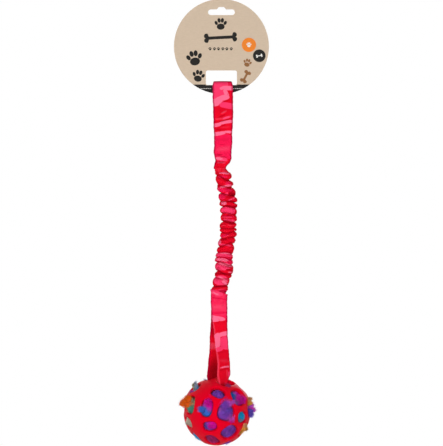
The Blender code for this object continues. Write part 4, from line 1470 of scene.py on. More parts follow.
@dataclass(frozen=True)
class BallFrame:
    """Where the ball hangs: its web, its centre and its own directions.

    Attributes:
        yaw, lean: where the pole that looks to the right front points.
        roll: turn of the ball about that pole.
        radius, wall: outer radius and thickness of the rubber.
        web: middle of the rib that the strap goes round.
    """

    yaw: float = math.radians(-38.6)
    lean: float = math.radians(-8.3)
    roll: float = math.radians(-7.0)
    radius: float = 37.4
    wall: float = 5.0
    web: Row = (-3.74, -6.4, -419.5)

    @property
    def pole(self) -> Array:
        """Direction of the pole that looks to the right front."""
        flat = math.cos(self.lean)
        return np.array((flat * math.cos(self.yaw), flat * math.sin(self.yaw),
                         math.sin(self.lean)))

    @property
    def level(self) -> Array:
        """Level direction square to the pole."""
        return np.array((-math.sin(self.yaw), math.cos(self.yaw), 0.0))

    @property
    def upright(self) -> Array:
        """Upward direction square to the pole and to the level one."""
        return np.cross(self.pole, self.level)

    @property
    def through_web(self) -> Array:
        """Direction from the centre through the held web."""
        return math.cos(self.roll) * self.upright + math.sin(self.roll) * self.level

    @property
    def along_web(self) -> Array:
        """Direction along the held web."""
        return math.cos(self.roll) * self.level - math.sin(self.roll) * self.upright

    @property
    def web_radius(self) -> float:
        """Distance from the centre to the web's middle."""
        return self.radius - 0.5 * self.wall

    @property
    def center(self) -> Array:
        """The ball's centre in millimetres."""
        return np.array(self.web) - self.web_radius * self.through_web


@dataclass
class BallStrap:
    """The narrower strap that runs through the ball's lattice and back.

    Attributes:
        frame: where the ball hangs.
        thickness, width, pass_width: the strap's, and its width in the holes.
        seam_drop, sewn: drop of the hem's seam and length of the sewn end.
        inner_radius: radius of the turn under the ball's web.
        tail: how far the sewn end runs on up into the hem.
        top_x: the sewn end's middle.
        step: distance between stations.
        folds: short folds, as pleats takes them.
    """

    frame: BallFrame
    thickness: float = 2.2
    width: float = 17.0
    pass_width: float = 13.0
    seam_drop: float = 330.8
    sewn: float = 14.0
    inner_radius: float = 6.3
    tail: float = 9.0
    top_x: float = -2.88
    step: float = 0.7
    folds: tuple[Row, ...] = (
        (0, 366.0, 7, 1.1, 6, 0.25), (1, 403.2, 7, 0.8, 8, 0.7), (0, 405.4, 7, 0.7, 6, -0.7),
        (-1, 386.0, 8, 1.2, 8, -0.35), (0, 342.4, 9, 0.7, 2, -0.7), (0, 345.0, 9, 1.0, 2, 0.2),
        (0, 352.6, 9, 0.8, 3, -0.3), (5, 370.3, 4, 0.7, 2, -0.4), (0, 396.0, 7, 1.6, -6, 0.25),
        (-2, 336.0, 6, 1.6, 4, 0.3), (3.5, 410.0, 1.2, 4.0, 0, 0.5),
        (2.0, 410.0, 0.8, 4.0, 0, -0.3), (-3.0, 376.0, 1.0, 6.0, 0, -0.2))
    # Drop, and how far the layer's edge lies to the right of the plain strap's
    front_left: tuple[Row, ...] = (
        (318, -0.5), (332, -0.5), (345, 0.6), (352.6, 1.6), (363, 2.7), (373, 3.0),
        (383.6, 2.2), (394, 1.5), (404, 0.1), (412, -1.0), (418, -1.0), (426, 0.0))
    front_right: tuple[Row, ...] = (
        (318, 0.9), (352, 1.2), (373, 1.3), (394, 1.5), (404, 1.9), (412, 2.2), (418, 1.6),
        (426, 0.0))
    back_left: tuple[Row, ...] = (
        (318, -0.5), (344, -0.3), (356, -0.4), (366, -0.9), (374, -0.7), (382, 0.0),
        (394, -0.1), (407, -0.6), (413, -1.4), (418, -1.8), (424, -1.4))
    back_right: tuple[Row, ...] = (
        (300, 0.0), (400, 0.0), (410, 1.2), (417, 2.4), (424, 2.4))

    def leg(self, side: float) -> Array:
        """List one leg's stations from its tail down to the web's level.

        The middle line leans towards the web, the direction across turns
        from level to along the web, and the gap opens by a smooth step.

        Args:
            side: 1 for the front leg and -1 for the back one.

        Returns:
            Rows of middle place, direction across, direction out and width.
        """
        web = np.array(self.frame.web)
        top = np.array((self.top_x, 0.0, -self.seam_drop - self.sewn))
        share = np.linspace(0.0, 1.0, 120)[:-1, None]
        eased = smooth(share)
        middle = top + (web - top) * np.concatenate((share, eased, share), 1)
        across = unit(np.array((1.0, 0, 0)) * (1 - eased) + self.frame.along_web * eased)
        out = side * unit(np.cross(across, (0.0, 0.0, 1.0)))
        gap = self.inner_radius * smooth(share / 0.82)
        middle = middle + (gap + 0.5 * self.thickness) * out
        wide = self.width + (self.pass_width - self.width) * smooth((share - 0.9) / 0.07)
        rows = np.concatenate((middle, across, out, wide), 1)
        high = np.linspace(-self.seam_drop + self.tail, top[2], 30)[:-1, None]
        sewn = (self.top_x, -0.5 * side * self.thickness, 0, 1, 0, 0, 0, -side, 0, self.width)
        sewn = np.array(sewn) + high * (np.arange(10) == 2)
        return np.concatenate((sewn, rows))

    def stations(self) -> Array:
        """Join the legs by the turn under the web.

        Returns:
            Rows as a leg's, evenly spaced.
        """
        along = self.frame.along_web
        up = unit(np.array((0, 0, 1.0)) - along[2] * along)
        turn = np.linspace(0.0, math.pi, 40)[:, None]
        ray = np.cos(turn) * np.cross(along, up) - np.sin(turn) * up
        middle = np.array(self.frame.web) + (self.inner_radius + 0.5 * self.thickness) * ray
        under = np.concatenate((middle, along + 0 * ray, ray, self.pass_width + 0 * turn), 1)
        return along_line(np.concatenate((self.leg(1.0), under, self.leg(-1.0)[::-1])),
                          self.step)

    def build(self, material: bpy.types.Material) -> None:
        """Make the strap, whose sewn top runs up into the sleeve's hem.

        Args:
            material: the printed cloth.
        """
        rows = self.stations()
        half = 0.5 * rows[:, 9] * MM
        drop = -rows[:, 2]
        travel = np.arange(len(rows)) * self.step
        share, edge, side = BandRing().shares()
        outside, inside = side > 0.5, side < 0.5
        x = (2 * share - 1) * half[:, None] / MM
        level = drop[:, None] + 0 * x
        folds = pleats(x, level, self.folds)
        soft = 0.12 * np.sin(0.5 * x + 0.17 * travel[:, None]) * np.sin(math.pi * share)
        crown = 0.16 * np.sin(math.pi * share) ** 0.7
        wave = (0.12 * np.sin(0.5 * travel) + 0.08 * np.sin(1.3 * travel)) * MM
        points = sweep_band(rows[:, :3] * MM, unit(rows[:, 3:6]), unit(rows[:, 6:9]),
                            wave - half, half + wave, (0.5 * self.thickness - 0.08) * MM,
                            (folds + soft + crown) * outside * MM)
        front = smooth(0.5 - (travel - 0.5 * travel[-1]) / 8.0)
        left, right = (front * through(knots, drop) + (1 - front) * through(rear, drop)
                       for knots, rear in ((self.front_left, self.back_left),
                                           (self.front_right, self.back_right)))
        points[..., 0] += (left[:, None] + (right - left)[:, None] * share) * MM
        front = front[:, None]
        # Painted light: a painted highlight down the front layer's left edge low down, painted
        # shade along the edges elsewhere and on the back layer's inner face, painted highlights
        # and shade on the folds, and lighter bands at drop 337 and on the back layer's inner
        # face at drop 379.5.
        lit = (edge < 0.0) | (share < 0.04)
        lower = smooth((level - 346.0) / 4.0)
        shadow = (1 - front) * inside * (0.6 * (1 - smooth((level - 362.0) / 10.0))
                                         + 0.8 * smooth((level - 386.0) / 22.0))
        patch = 0.34 * bell(level, 379.5, 3.6, 4) * (1 - front)
        worn = (0.42 * folds * outside - shadow * lower + patch * inside
                + 0.16 * bell(level, 337.0, 6.0) * outside + 0.24 * lit * lower * front)
        rim = 0.6 * ((edge > 0.0) | (share > 0.96)) + 0.5 * lit * (1 - lower * front)
        plain = 1 - (1 - front) * smooth((level - 345.0) / 10.0)
        obj = make_sweep("ball_strap", points, worn=worn, rim=rim,
                         tones=ClothPrint().tones(points) * plain[..., None],
                         cloth=np.stack((travel[:, None] * MM + 0 * x, x * MM, 0 * x), -1))
        dress(obj, material)
        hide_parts("ball_loop")
        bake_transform(obj)


@dataclass
class Lattice:
    """The moulded ball: two mirrored halves of rings of round-cornered holes.

    Attributes:
        frame: where the ball hangs.
        rounding, inner_rounding: radii of the ribs' outer and inner edges.
        edge_step: distance between points along the ribs' middles.
        drawn_up: how far the upper half is drawn out, as a share.
        held: the two holes that the strap passes through.
        rings: rings of holes in each half, from the pole outwards: angle from
            the pole, turn, half sizes towards the pole and across, and the
            angular reach of the hole's cell.
    """

    frame: BallFrame
    rounding: float = 1.7
    inner_rounding: float = 1.0
    edge_step: float = 1.5
    drawn_up: float = 0.045
    held: tuple[int, int] = (11, 27)
    rings: tuple[Row, ...] = (
        (0.0, 0.0, 6.6, 6.6, 14.0), (36.1, 0.0, 10.0, 9.8, 20.5),
        (64.4, 36.0, 8.4, 6.3, 13.5), (71.8, 0.0, 7.3, 10.4, 17.5))

    def __post_init__(self) -> None:
        """Work out every hole's direction, sides, half sizes and weight.

        The weight is one over the cosine of the angular reach.
        """
        rows = []
        ball = self.frame
        for half in (1.0, -1.0):
            for i, (polar, turn, toward, across, reach) in enumerate(self.rings):
                spin = np.radians(turn + 72.0 * np.arange(5 if i else 1))[:, None]
                tilt = math.radians(polar)
                ray = (math.sin(tilt) * (np.cos(spin) * ball.through_web
                                         + np.sin(spin) * ball.along_web)
                       + half * math.cos(tilt) * ball.pole)
                for direction in ray:
                    side = half * ball.pole - np.dot(half * ball.pole, direction) * direction
                    side = unit(side) if np.linalg.norm(side) > 0.01 else ball.through_web
                    rows.append((*direction, *side, *np.cross(direction, side), toward, across,
                                 1.0 / math.cos(math.radians(reach))))
        table = np.array(rows)
        self.rays, self.toward, self.across = table[:, :3], table[:, 3:6], table[:, 6:9]
        self.half, self.weight = table[:, 9:11], table[:, 11]

    def outline(self, hole: int | Array, turn: Array) -> Array:
        """Give the arc from holes' centres to their rims: a blunt oval's radius."""
        return 1.0 / blunt_oval(np.cos(turn), np.sin(turn), *self.half[hole].T)

    def aside(self, hole: int | Array, turn: Array) -> Array:
        """Give the directions along the ball at turns about holes' centres."""
        return (np.cos(turn)[..., None] * self.toward[hole]
                + np.sin(turn)[..., None] * self.across[hole])

    def direction(self, hole: int | Array, turn: Array, arc: Array) -> Array:
        """Give the directions at turns and arc lengths from holes' centres."""
        angle = (arc / self.frame.radius)[..., None]
        return np.cos(angle) * self.rays[hole] + np.sin(angle) * self.aside(hole, turn)

    def corners(self) -> tuple[Array, list[Array]]:
        """Find where three cells meet, and the corners of each cell.

        A cell holds the directions whose dot product with its hole's ray,
        times the hole's weight, is the largest.

        Returns:
            The corner directions, and for each hole the numbers of its
            corners in order round it.
        """
        weighted = self.rays * self.weight[:, None]
        n = len(weighted)
        i, j, k = np.array([(a, b, c) for a in range(n) for b in range(a + 1, n)
                            for c in range(b + 1, n)]).T
        axis = np.cross(weighted[i] - weighted[j], weighted[i] - weighted[k])
        size = np.linalg.norm(axis, axis=1)
        keep = size > 1e-6
        axis, triples = axis[keep] / size[keep, None], np.stack((i, j, k), 1)[keep]
        axis, triples = np.concatenate((axis, -axis)), np.concatenate((triples, triples))
        level = axis @ weighted.T
        own = level[np.arange(len(axis)), triples[:, 0]]
        real = (level.max(1) <= own + 1e-7) & (own > 0.3)
        axis, triples = axis[real], triples[real]
        group = np.full(len(axis), -1)
        points: list[Array] = []
        for number in range(len(axis)):
            if group[number] < 0:
                near = np.linalg.norm(axis - axis[number], axis=1) < 0.03
                group[near & (group < 0)] = len(points)
                points.append(unit(axis[near].mean(0)))
        corners = np.array(points)
        cells = []
        for hole in range(n):
            own_corners = np.unique(group[(triples == hole).any(1)])
            turn = np.arctan2(corners[own_corners] @ self.across[hole],
                              corners[own_corners] @ self.toward[hole])
            cells.append(own_corners[np.argsort(turn)])
        return corners, cells

    def rib_middle(self, corners: Array) -> Array:
        """Space directions evenly along the rib's middle round a hole.

        Args:
            corners: the directions of the cell's corners, in order.

        Returns:
            The directions.
        """
        sides = []
        for a, b in zip(corners, np.roll(corners, -1, axis=0)):
            angle = math.acos(np.clip(a @ b, -1, 1))
            steps = max(3, round(angle * self.frame.radius / self.edge_step))
            share = np.arange(steps)[:, None] / steps
            sides.append(unit(a * (1 - share) + b * share))
        return np.concatenate(sides)

    def section(self, rim: Array, room: Array) -> tuple[Array, Array]:
        """Follow the rubber's surface from the rib's middle to the inside.

        It runs over the rib, rounds a quarter circle into the hole, goes down
        its wall and rounds again to the inside.

        Args:
            rim: arcs from the hole's centre to its rim.
            room: arcs from the rim to the rib's middle.

        Returns:
            Arcs from the hole's centre and radii, rows by directions.
        """
        outer, q, small = self.frame.radius, self.rounding, self.inner_rounding
        inner = outer - self.frame.wall
        q_arc = np.minimum(q, 0.85 * room)
        over, under = (np.array(shares)[:, None] for shares in (
            (1.0, 0.88, 0.7, 0.45, 0.2), (0.5, 1.0)))
        bend, low = (np.radians(angles)[:, None] for angles in (
            (0, 15, 32, 50, 68, 84, 90), (0, 30, 60, 90)))
        arcs = np.concatenate((rim + q_arc + (room - q_arc) * over,
                               rim + q_arc * (1 - np.sin(bend)),
                               rim + small * (1 - np.cos(low)),
                               rim + small + (room - small) * under))
        radii = np.concatenate((outer + 0 * over, outer - q * (1 - np.cos(bend)),
                                inner + small * (1 - np.sin(low)), inner + 0 * under))
        return arcs, radii + 0 * rim

    def build(self, material: bpy.types.Material) -> None:
        """Make the rubber shell, its upper half drawn out a little by the strap.

        Args:
            material: the rubber.
        """
        corners, cells = self.corners()
        points, faces, start = [], [], 0
        for hole, cell in enumerate(cells):
            edge = self.rib_middle(corners[cell])
            turn = np.arctan2(edge @ self.across[hole], edge @ self.toward[hole])
            reach = np.arccos(np.clip(edge @ self.rays[hole], -1, 1)) * self.frame.radius
            rim = self.outline(hole, turn)
            arcs, radii = self.section(rim, np.maximum(reach - rim, 0.2))
            rays = self.direction(hole, turn + 0 * arcs, arcs)
            rays[0] = rays[-1] = edge
            radii = radii * (1.0 + self.drawn_up * smooth((rays[..., 2] + 0.1) / 0.6))
            points.append(((self.frame.center + rays * radii[..., None]) * MM).reshape(-1, 3))
            faces += (np.array(grid_faces(*arcs.shape, False)[:-2]) + start).tolist()
            start += arcs.size
        obj = make_piece("rubber_lattice", np.concatenate(points), faces)
        merge_points(obj, 0.002 * MM)
        dress(obj, material)
        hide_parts("ball_shell")
        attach(obj, "ball")


@dataclass
class PlushBall:
    """The tie-dyed plush ball inside the lattice, with its pile and tufts.

    Attributes:
        lattice: the rubber round it.
        radius, bulge: the filling's radius and its swelling in the holes.
        groove, strap_room: radius of the room for the strap, round the web,
            and the band round it in which the pile is short.
        fill_radius, fill_room: the inner fibre's radius and its distance from
            the groove.
        strands, root_depth: number of the pile's fibres and how deep they root.
        seed: seed of the fibres' places.
        front_spots: dye spots seen from the front: colour, x and height.
        back_cycle: the dyes of the holes behind, in turn.
        bundles: tufts: colour, the root's x, depth and height, the tip's, the
            spreads of both, and the number of fibres.
    """

    lattice: Lattice
    radius: float = 32.1
    bulge: float = 3.5
    groove: float = 10.5
    strap_room: float = 2.2
    fill_radius: float = 27.8
    fill_room: float = 4.3
    strands: int = 17500
    root_depth: float = 0.4
    seed: int = 7
    front_spots: tuple[tuple[Dye, float, float], ...] = (
        (Dye.TEAL, 28.9, -5.4), (Dye.NAVY, 18.6, 16.7), (Dye.MAGENTA, 27.4, 16.7),
        (Dye.TAN, 37.3, 14.4), (Dye.ORCHID, 37.3, 2.1), (Dye.AMBER, 32.5, -15.9),
        (Dye.PURPLE, 14.6, -23.4), (Dye.PURPLE, 10.4, -1.2), (Dye.VIOLET, 10.1, 3.8),
        (Dye.ORCHID, 4.6, 8.2), (Dye.ORCHID, 17.2, -9.6), (Dye.MAGENTA, -4.4, -14.2),
        (Dye.VIOLET, -11.4, -19.4), (Dye.PURPLE, 1, 22.1), (Dye.MAROON, 11.2, 31.8),
        (Dye.MAROON, -5.3, -32.5), (Dye.MAGENTA, -9.2, 10.5), (Dye.BLUE, -15.3, 1),
        (Dye.CREAM, -33.2, -11.8), (Dye.SLATE, -24.1, 26.8), (Dye.TEAL, -23.3, -29.1),
        (Dye.OLIVE, -25.0, 13.4), (Dye.SEA, -29.7, 2.7), (Dye.ORANGE, -30.8, 12.5),
        (Dye.ORCHID, -25.6, 20.5), (Dye.PURPLE, 11.3, -35.5))
    back_cycle: tuple[Dye, ...] = (
        Dye.PURPLE, Dye.BLUE, Dye.MAGENTA, Dye.TEAL, Dye.ORANGE, Dye.ORCHID, Dye.AMBER,
        Dye.VIOLET, Dye.SEA, Dye.MAGENTA, Dye.NAVY)
    bundles: tuple[tuple, ...] = (
        (Dye.ORANGE, -31.0, -16.5, 11.0, -41.4, -13.0, 8.6, 4.0, 1.5, 1500),
        (Dye.ORANGE, -29.4, -18.5, 14.0, -34.4, -17.0, 17.4, 2.6, 1.7, 700),
        (Dye.ORANGE, -30.4, -19.0, 8.4, -35.4, -17.0, 6.6, 2.4, 1.7, 600),
        (Dye.SLATE, -24.0, -8.0, 27.0, -22.4, -9.0, 34.8, 1.5, 1.1, 300),
        (Dye.OLIVE, -25.4, -8.5, 26.5, -24.8, -10.0, 32.2, 1.3, 1.1, 160),
        (Dye.SLATE, -23.0, -11.0, 27.0, -21.6, -14.0, 31.6, 1.6, 1.0, 200),
        (Dye.TEAL, -21.6, -11.5, 26.0, -20.6, -13.4, 29.6, 1.2, 0.9, 30),
        (Dye.ORCHID, -27.0, -10.0, 21.6, -28.6, -11.4, 21.4, 2.0, 1.6, 120),
        (Dye.OLIVE, -25.2, -17.0, 13.6, -25.6, -23.0, 11.6, 2.0, 1.6, 200),
        (Dye.SEA, -28.0, -17.0, 5.0, -30.0, -22.0, 2.0, 3.0, 2.6, 300),
        (Dye.TAN, 33.0, -8.0, 13.0, 37.8, -11.0, 15.4, 2.2, 1.9, 460),
        (Dye.AMBER, 33.6, -9.0, 10.0, 38.6, -11.0, 10.6, 2.0, 1.8, 240),
        (Dye.ORCHID, 34.5, -7.0, 7.0, 40.2, -9.0, 8.0, 2.4, 1.8, 300),
        (Dye.MAGENTA, 34.5, -7.0, 4.0, 41.6, -9.0, 3.6, 2.4, 1.8, 260),
        (Dye.ORCHID, 34.0, -6.0, 2.5, 42.2, -9.0, 2.2, 3.2, 2.4, 700),
        (Dye.VIOLET, 34.0, -9.0, 1.0, 38.8, -12.0, 0.6, 2.8, 2.2, 420),
        (Dye.VIOLET, 34.0, -6.0, -2.0, 40.0, -9.0, -3.8, 2.4, 2.0, 300),
        (Dye.AMBER, 30.4, -17.0, -17.0, 31.6, -17.0, -18.6, 2.2, 1.4, 360),
        (Dye.TAN, 30.6, -18.0, -14.2, 31.2, -19.5, -15.4, 1.8, 1.3, 140),
        (Dye.CREAM, -30.6, -14.0, -10.5, -32.2, -17.0, -12.0, 2.6, 2.0, 200),
        (Dye.VIOLET, -12.0, 8.0, 32.0, -12.6, 7.0, 35.6, 2.2, 1.4, 90),
        (Dye.PURPLE, 8.0, -34.0, 7.0, 10.5, -36.5, 11.2, 5.0, 4.6, 420),
        (Dye.ORCHID, 12.0, -34.5, 8.5, 15.5, -36.5, 12.6, 3.0, 3.2, 150),
        (Dye.ORCHID, 16.0, -32.5, -6.0, 17.0, -35.0, -9.5, 3.6, 3.0, 80),
        (Dye.MAGENTA, 15.5, -33.0, -8.0, 17.5, -34.5, -11.5, 2.6, 2.4, 60),
        (Dye.MAGENTA, 24.4, -26.5, 15.5, 23.4, -31.0, 14.6, 3.0, 2.8, 280),
        (Dye.MAGENTA, 27.0, -22.0, 14.5, 29.0, -24.5, 11.4, 3.4, 3.0, 300),
        (Dye.ORCHID, 19.0, -31.0, 11.6, 15.0, -34.5, 10.6, 2.4, 2.2, 160),
        (Dye.BLUE, -16.0, -32.5, 3.5, -19.5, -32.6, 2.6, 3.4, 2.4, 200),
        (Dye.MAGENTA, -10.0, -34.0, 11.5, -7.4, -35.6, 12.6, 3.6, 3.0, 200),
        (Dye.MAGENTA, -7.0, -34.0, -15.0, -9.5, -35.0, -16.0, 2.4, 2.0, 70),
        (Dye.PURPLE, 12.5, -28.0, -22.0, 14.6, -31.6, -21.0, 3.4, 3.0, 160),
        (Dye.SLATE, 26.0, -25.0, -8.2, 25.2, -29.0, -9.4, 1.3, 1.2, 80),
        (Dye.MAROON, 11.0, -21.0, 28.0, 14.0, -24.5, 29.5, 3.0, 2.2, 90),
        (Dye.ORANGE, 20.0, 27.0, 6.0, 23.0, 32.5, 8.0, 4.4, 3.4, 520),
        (Dye.TEAL, -16.0, 29.0, -12.0, -18.0, 34.5, -14.0, 4.4, 3.4, 520),
        (Dye.MAGENTA, -6.0, 30.0, 16.0, -7.0, 35.5, 18.5, 4.4, 3.4, 520))

    def __post_init__(self) -> None:
        """Place the dye spots as directions with their colours.

        The front's spots stand where they are seen.  Each hole that holds none
        of them, on the sides and behind, gets two spots of the cycle's dyes.
        """
        self.jitter = np.random.default_rng(self.seed)
        dyes, x, height = zip(*self.front_spots)
        x, height = np.array(x), np.array(height)
        depth = np.sqrt(np.maximum(self.lattice.frame.radius**2 - x**2 - height**2, 0.0))
        seen = unit(np.stack((x, -depth, height), 1))
        rays, across = self.lattice.rays, self.lattice.across
        unseen = ((rays @ seen.T).max(1) <= 0.955) & (rays[:, 1] >= -0.12)
        shift = 0.11 * np.array((1.0, -1.0))[:, None]
        behind = unit(rays[unseen][:, None] + shift * across[unseen][:, None]).reshape(-1, 3)
        dyes += tuple(self.back_cycle[i % len(self.back_cycle)] for i in range(len(behind)))
        self.spot_rays = np.concatenate((seen, behind))
        self.spot_colors = np.array([dye.value[:3] for dye in dyes])

    def dye(self, rays: Array) -> Array:
        """Mix the dye spots at directions: weights fall off as a bell curve.

        Args:
            rays: directions from the ball's centre.

        Returns:
            Linear colours.
        """
        near = rays @ self.spot_rays.T
        weight = np.exp(170.0 * (near - near.max(-1, keepdims=True)))
        weight /= weight.sum(-1, keepdims=True)
        return weight @ self.spot_colors

    def swelling(self, rays: Array) -> Array:
        """Give how far the plush swells in each hole, from 0 to 1.

        The swelling is the root of one minus the point's share of the hole's
        half sizes.

        Args:
            rays: directions from the centre.

        Returns:
            Shares, directions by holes.
        """
        net = self.lattice
        facing = rays @ net.rays.T
        up, aside = rays @ net.toward.T, rays @ net.across.T
        arc = np.arccos(np.clip(facing, -1, 1)) * net.frame.radius
        length = np.sqrt(up**2 + aside**2) + 1e-9
        share = blunt_oval(up / length * arc, aside / length * arc, *net.half.T)
        return np.sqrt(np.clip(1.02 - share, 0.0, 1.0)) * (facing > 0.5)

    def shaded(self, rays: Array) -> Array:
        """Give the painted shade on the dye: darker where the plush dips to a rim.

        Args:
            rays: directions from the centre.

        Returns:
            Shares of the dye's brightness left under the painted shade.
        """
        high = self.swelling(rays).max(-1, keepdims=True)
        return 0.36 + 0.64 * smooth((high - 0.16) / 0.36)

    def surface(self, rays: Array, radius: float, bulge: float, depth: float) -> Array:
        """Give the plush ball's radius: a sphere that swells out of the holes.

        A round groove leaves room for the strap at the web.

        Args:
            rays: directions from the centre.
            radius: the sphere's radius in millimetres.
            bulge: the swelling's height.
            depth: extra room round the strap.

        Returns:
            Radii in millimetres.
        """
        net = self.lattice
        rise = self.swelling(rays)
        rise[..., net.held] *= 0.35
        reach = radius + bulge * rise.max(-1)
        along = net.frame.along_web
        flat = rays - (rays @ along)[..., None] * along
        size = (flat**2).sum(-1) + 1e-12
        toward = net.frame.web_radius * (flat @ net.frame.through_web)
        rest = toward**2 - size * (net.frame.web_radius**2 - (self.groove + depth) ** 2)
        limit = (toward - np.sqrt(np.maximum(rest, 0.0))) / size
        return np.where((rest > 0) & (toward > 0), np.minimum(reach, limit), reach)

    def globe(self, name: str, level: int, radius: float, bulge: float, depth: float,
              ) -> bpy.types.Object:
        """Make an even ball of triangles, drawn to the plush surface.

        Args:
            name: piece name.
            level: number of subdivisions of the icosahedron.
            radius, bulge, depth: as for the surface.

        Returns:
            The ball, with its dye and the painted shade near the holes' rims stored.
        """
        shape, mesh = bmesh.new(), bpy.data.meshes.new(name)
        bmesh.ops.create_icosphere(shape, subdivisions=level, radius=1.0)
        shape.to_mesh(mesh)
        shape.free()
        places, corners = np.zeros(3 * len(mesh.vertices)), np.zeros(len(mesh.loops), np.int32)
        mesh.vertices.foreach_get("co", places)
        mesh.loops.foreach_get("vertex_index", corners)
        bpy.data.meshes.remove(mesh)
        rays, faces = unit(places.reshape(-1, 3)), corners.reshape(-1, 3).tolist()
        radii = self.surface(rays, radius, bulge, depth)
        lump = 0.125 * np.sin(23 * rays[:, 0] + 5 * rays[:, 2]) * np.sin(27 * rays[:, 1])
        points = (self.lattice.frame.center + rays * (radii + lump - 0.12)[:, None]) * MM
        # The dye, darkened by painted shade near the holes' rims.
        dye = self.bright(1.3 * self.dye(rays) * self.shaded(rays))
        return make_piece(name, points, faces, {"dye": dye})

    @staticmethod
    def bright(color: Array) -> Array:
        """Scale colours down to 0.96 where they pass it, and add a full alpha.

        Args:
            color: linear colours.

        Returns:
            The colours with four parts.
        """
        color = color / np.maximum(color.max(-1, keepdims=True) / 0.96, 1.0)
        return np.concatenate((color, np.ones((*color.shape[:-1], 1))), -1)

    def fibres(self, name: str, roots: Array, paths: Array, width: Array, color: Array,
               ) -> bpy.types.Object:
        """Make closed three-sided fibres that taper to a point.

        Args:
            name: piece name.
            roots: root places, one for each fibre.
            paths: steps from the root to each further place, fibres by steps.
            width: each fibre's radius at its root.
            color: each fibre's linear colour.

        Returns:
            All fibres as one mesh.
        """
        count, steps = paths.shape[:2]
        lines = np.concatenate((roots[:, None], roots[:, None] + paths), 1)
        heading = unit(paths[:, 0])
        side = unit(np.cross(heading, unit(self.jitter.normal(size=heading.shape))))
        other = np.cross(heading, side)
        turn = turns(3)[:, None]
        spread = np.cos(turn) * side[:, None] + np.sin(turn) * other[:, None]
        taper = width[:, None] * (1.0 - np.arange(steps) / steps) ** 0.6
        rings = lines[:, :-1, None] + spread[:, None] * taper[..., None, None]
        points = np.concatenate((rings.reshape(count, -1, 3), lines[:, -1:]), 1)
        ring, after, tip = np.arange(3), np.array((1, 2, 0)), 3 * steps
        quads = np.concatenate([3 * r + np.stack((ring, after, after + 3, ring + 3), 1)
                                for r in range(steps - 1)])
        tips = np.stack((ring + tip - 3, after + tip - 3, 0 * ring + tip), 1)
        base = np.arange(count)[:, None, None] * (tip + 1)
        faces = [face for pattern in (quads, np.concatenate((tips, [ring[::-1]])))
                 for face in (base + pattern).reshape(-1, pattern.shape[1]).tolist()]
        lift = np.concatenate((np.repeat(1.3 + 0.6 * np.arange(steps) / steps, 3), (1.9,)))
        return make_piece(name, points * MM, faces,
                          {"dye": self.bright(color[:, None] * lift[None, :, None])})

    def pile(self) -> bpy.types.Object:
        """Grow the short pile that stands in every hole of the lattice.

        Returns:
            The pile, shorter where the strap passes.
        """
        net, rng = self.lattice, self.jitter
        area = net.half.prod(1)
        counts = np.round(self.strands * area / area.sum()).astype(int)
        hole = np.repeat(np.arange(len(counts)), counts)
        turn = rng.uniform(0, 2 * math.pi, len(hole))
        share = np.sqrt(rng.uniform(0, 1, len(hole)))
        rays = unit(net.direction(hole, turn, 0.97 * share * net.outline(hole, turn)))
        level = self.surface(rays, self.radius, self.bulge, 0.0)
        near = self.surface(rays, self.radius, self.bulge, self.strap_room) < level - 1e-6
        lie = rng.uniform(0, 2 * math.pi, len(counts))[hole]
        loose = rng.normal(size=(len(hole), 3))
        length = rng.uniform(2.6, 4.6, len(hole)) * np.where(np.isin(hole, net.held), 0.6, 1.0)
        length = (length * (1 - 0.4 * share**4) * np.where(near, 0.25, 1.0))[:, None]
        lean = (0.42 * net.aside(hole, lie) + 0.3 * loose
                - 0.1 * net.aside(hole, turn) * (share**3)[:, None])
        first = unit(rays + 0.5 * lean)
        bend = unit(rays * 0.35 + lean + 0.12 * loose)
        paths = np.stack((first * 0.55 * length, (first * 0.55 + bend * 0.5) * length), 1)
        mixed = unit(rays + 0.035 * rng.normal(size=rays.shape))
        # The dye with a random tone, darkened by painted shade near the holes' rims.
        color = self.dye(mixed) * rng.uniform(0.6, 1.3, (len(hole), 1)) * self.shaded(rays)
        roots = net.frame.center + rays * (level - self.root_depth)[:, None]
        return self.fibres("plush_pile", roots, paths, rng.uniform(0.12, 0.22, len(hole)),
                           color)

    def tufts(self) -> bpy.types.Object:
        """Grow the longer tufts and the wisps that lie across the ribs.

        Returns:
            The tufts.
        """
        rng = self.jitter
        roots, paths, colors = [], [], []
        flatten = np.array((0.6, 0.3, 0.6))
        for dye, *numbers, root_spread, tip_spread, count in self.bundles:
            root, tip = np.array(numbers[:3]), np.array(numbers[3:])
            start, end = (place + spread * flatten * rng.normal(size=(count, 3))
                          for place, spread in ((root, root_spread), (tip, tip_spread)))
            end = start + (end - start) * rng.uniform(0.55, 1.1, (count, 1))
            sway = 0.5 * rng.normal(size=(count, 3))
            middle = 0.45 * start + 0.55 * end + 0.06 * np.linalg.norm(tip) * unit(end) + sway
            roots.append(start)
            paths.append(np.stack((0.5 * (middle - start), middle - start, end - start), 1))
            colors.append(np.array(dye.value[:3]) * rng.uniform(0.75, 1.25, (count, 1)))
        start = self.lattice.frame.center + np.concatenate(roots)
        return self.fibres("plush_tufts", start, np.concatenate(paths),
                           rng.uniform(0.09, 0.18, len(start)), np.concatenate(colors))

    def build(self) -> None:
        """Make the filling, the pile, the tufts and the fibre inside."""
        cover = self.globe("plush_filling", 6, self.radius, self.bulge, 0.0)
        dress(cover, PlushFinish("plush_ground", 0.5 * MM).build())
        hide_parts("plush_cover")
        fur = PlushFinish("plush_strands").build()
        pieces = [self.pile(), self.tufts()]
        for obj in pieces:
            dress(obj, fur)
        fill = self.globe("fibre_fill", 5, self.fill_radius, 0.0, self.fill_room)
        dress(fill, PlainFinish("loose_fibre", tint(240, 240, 236), tint(212, 212, 208), 0.95,
                                300.0, 0.6 * MM).build())
        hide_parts("stuffing")
        for obj in (cover, fill, *pieces):
            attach(obj, "ball")


# ------------------------------------------------------- stitches, stage


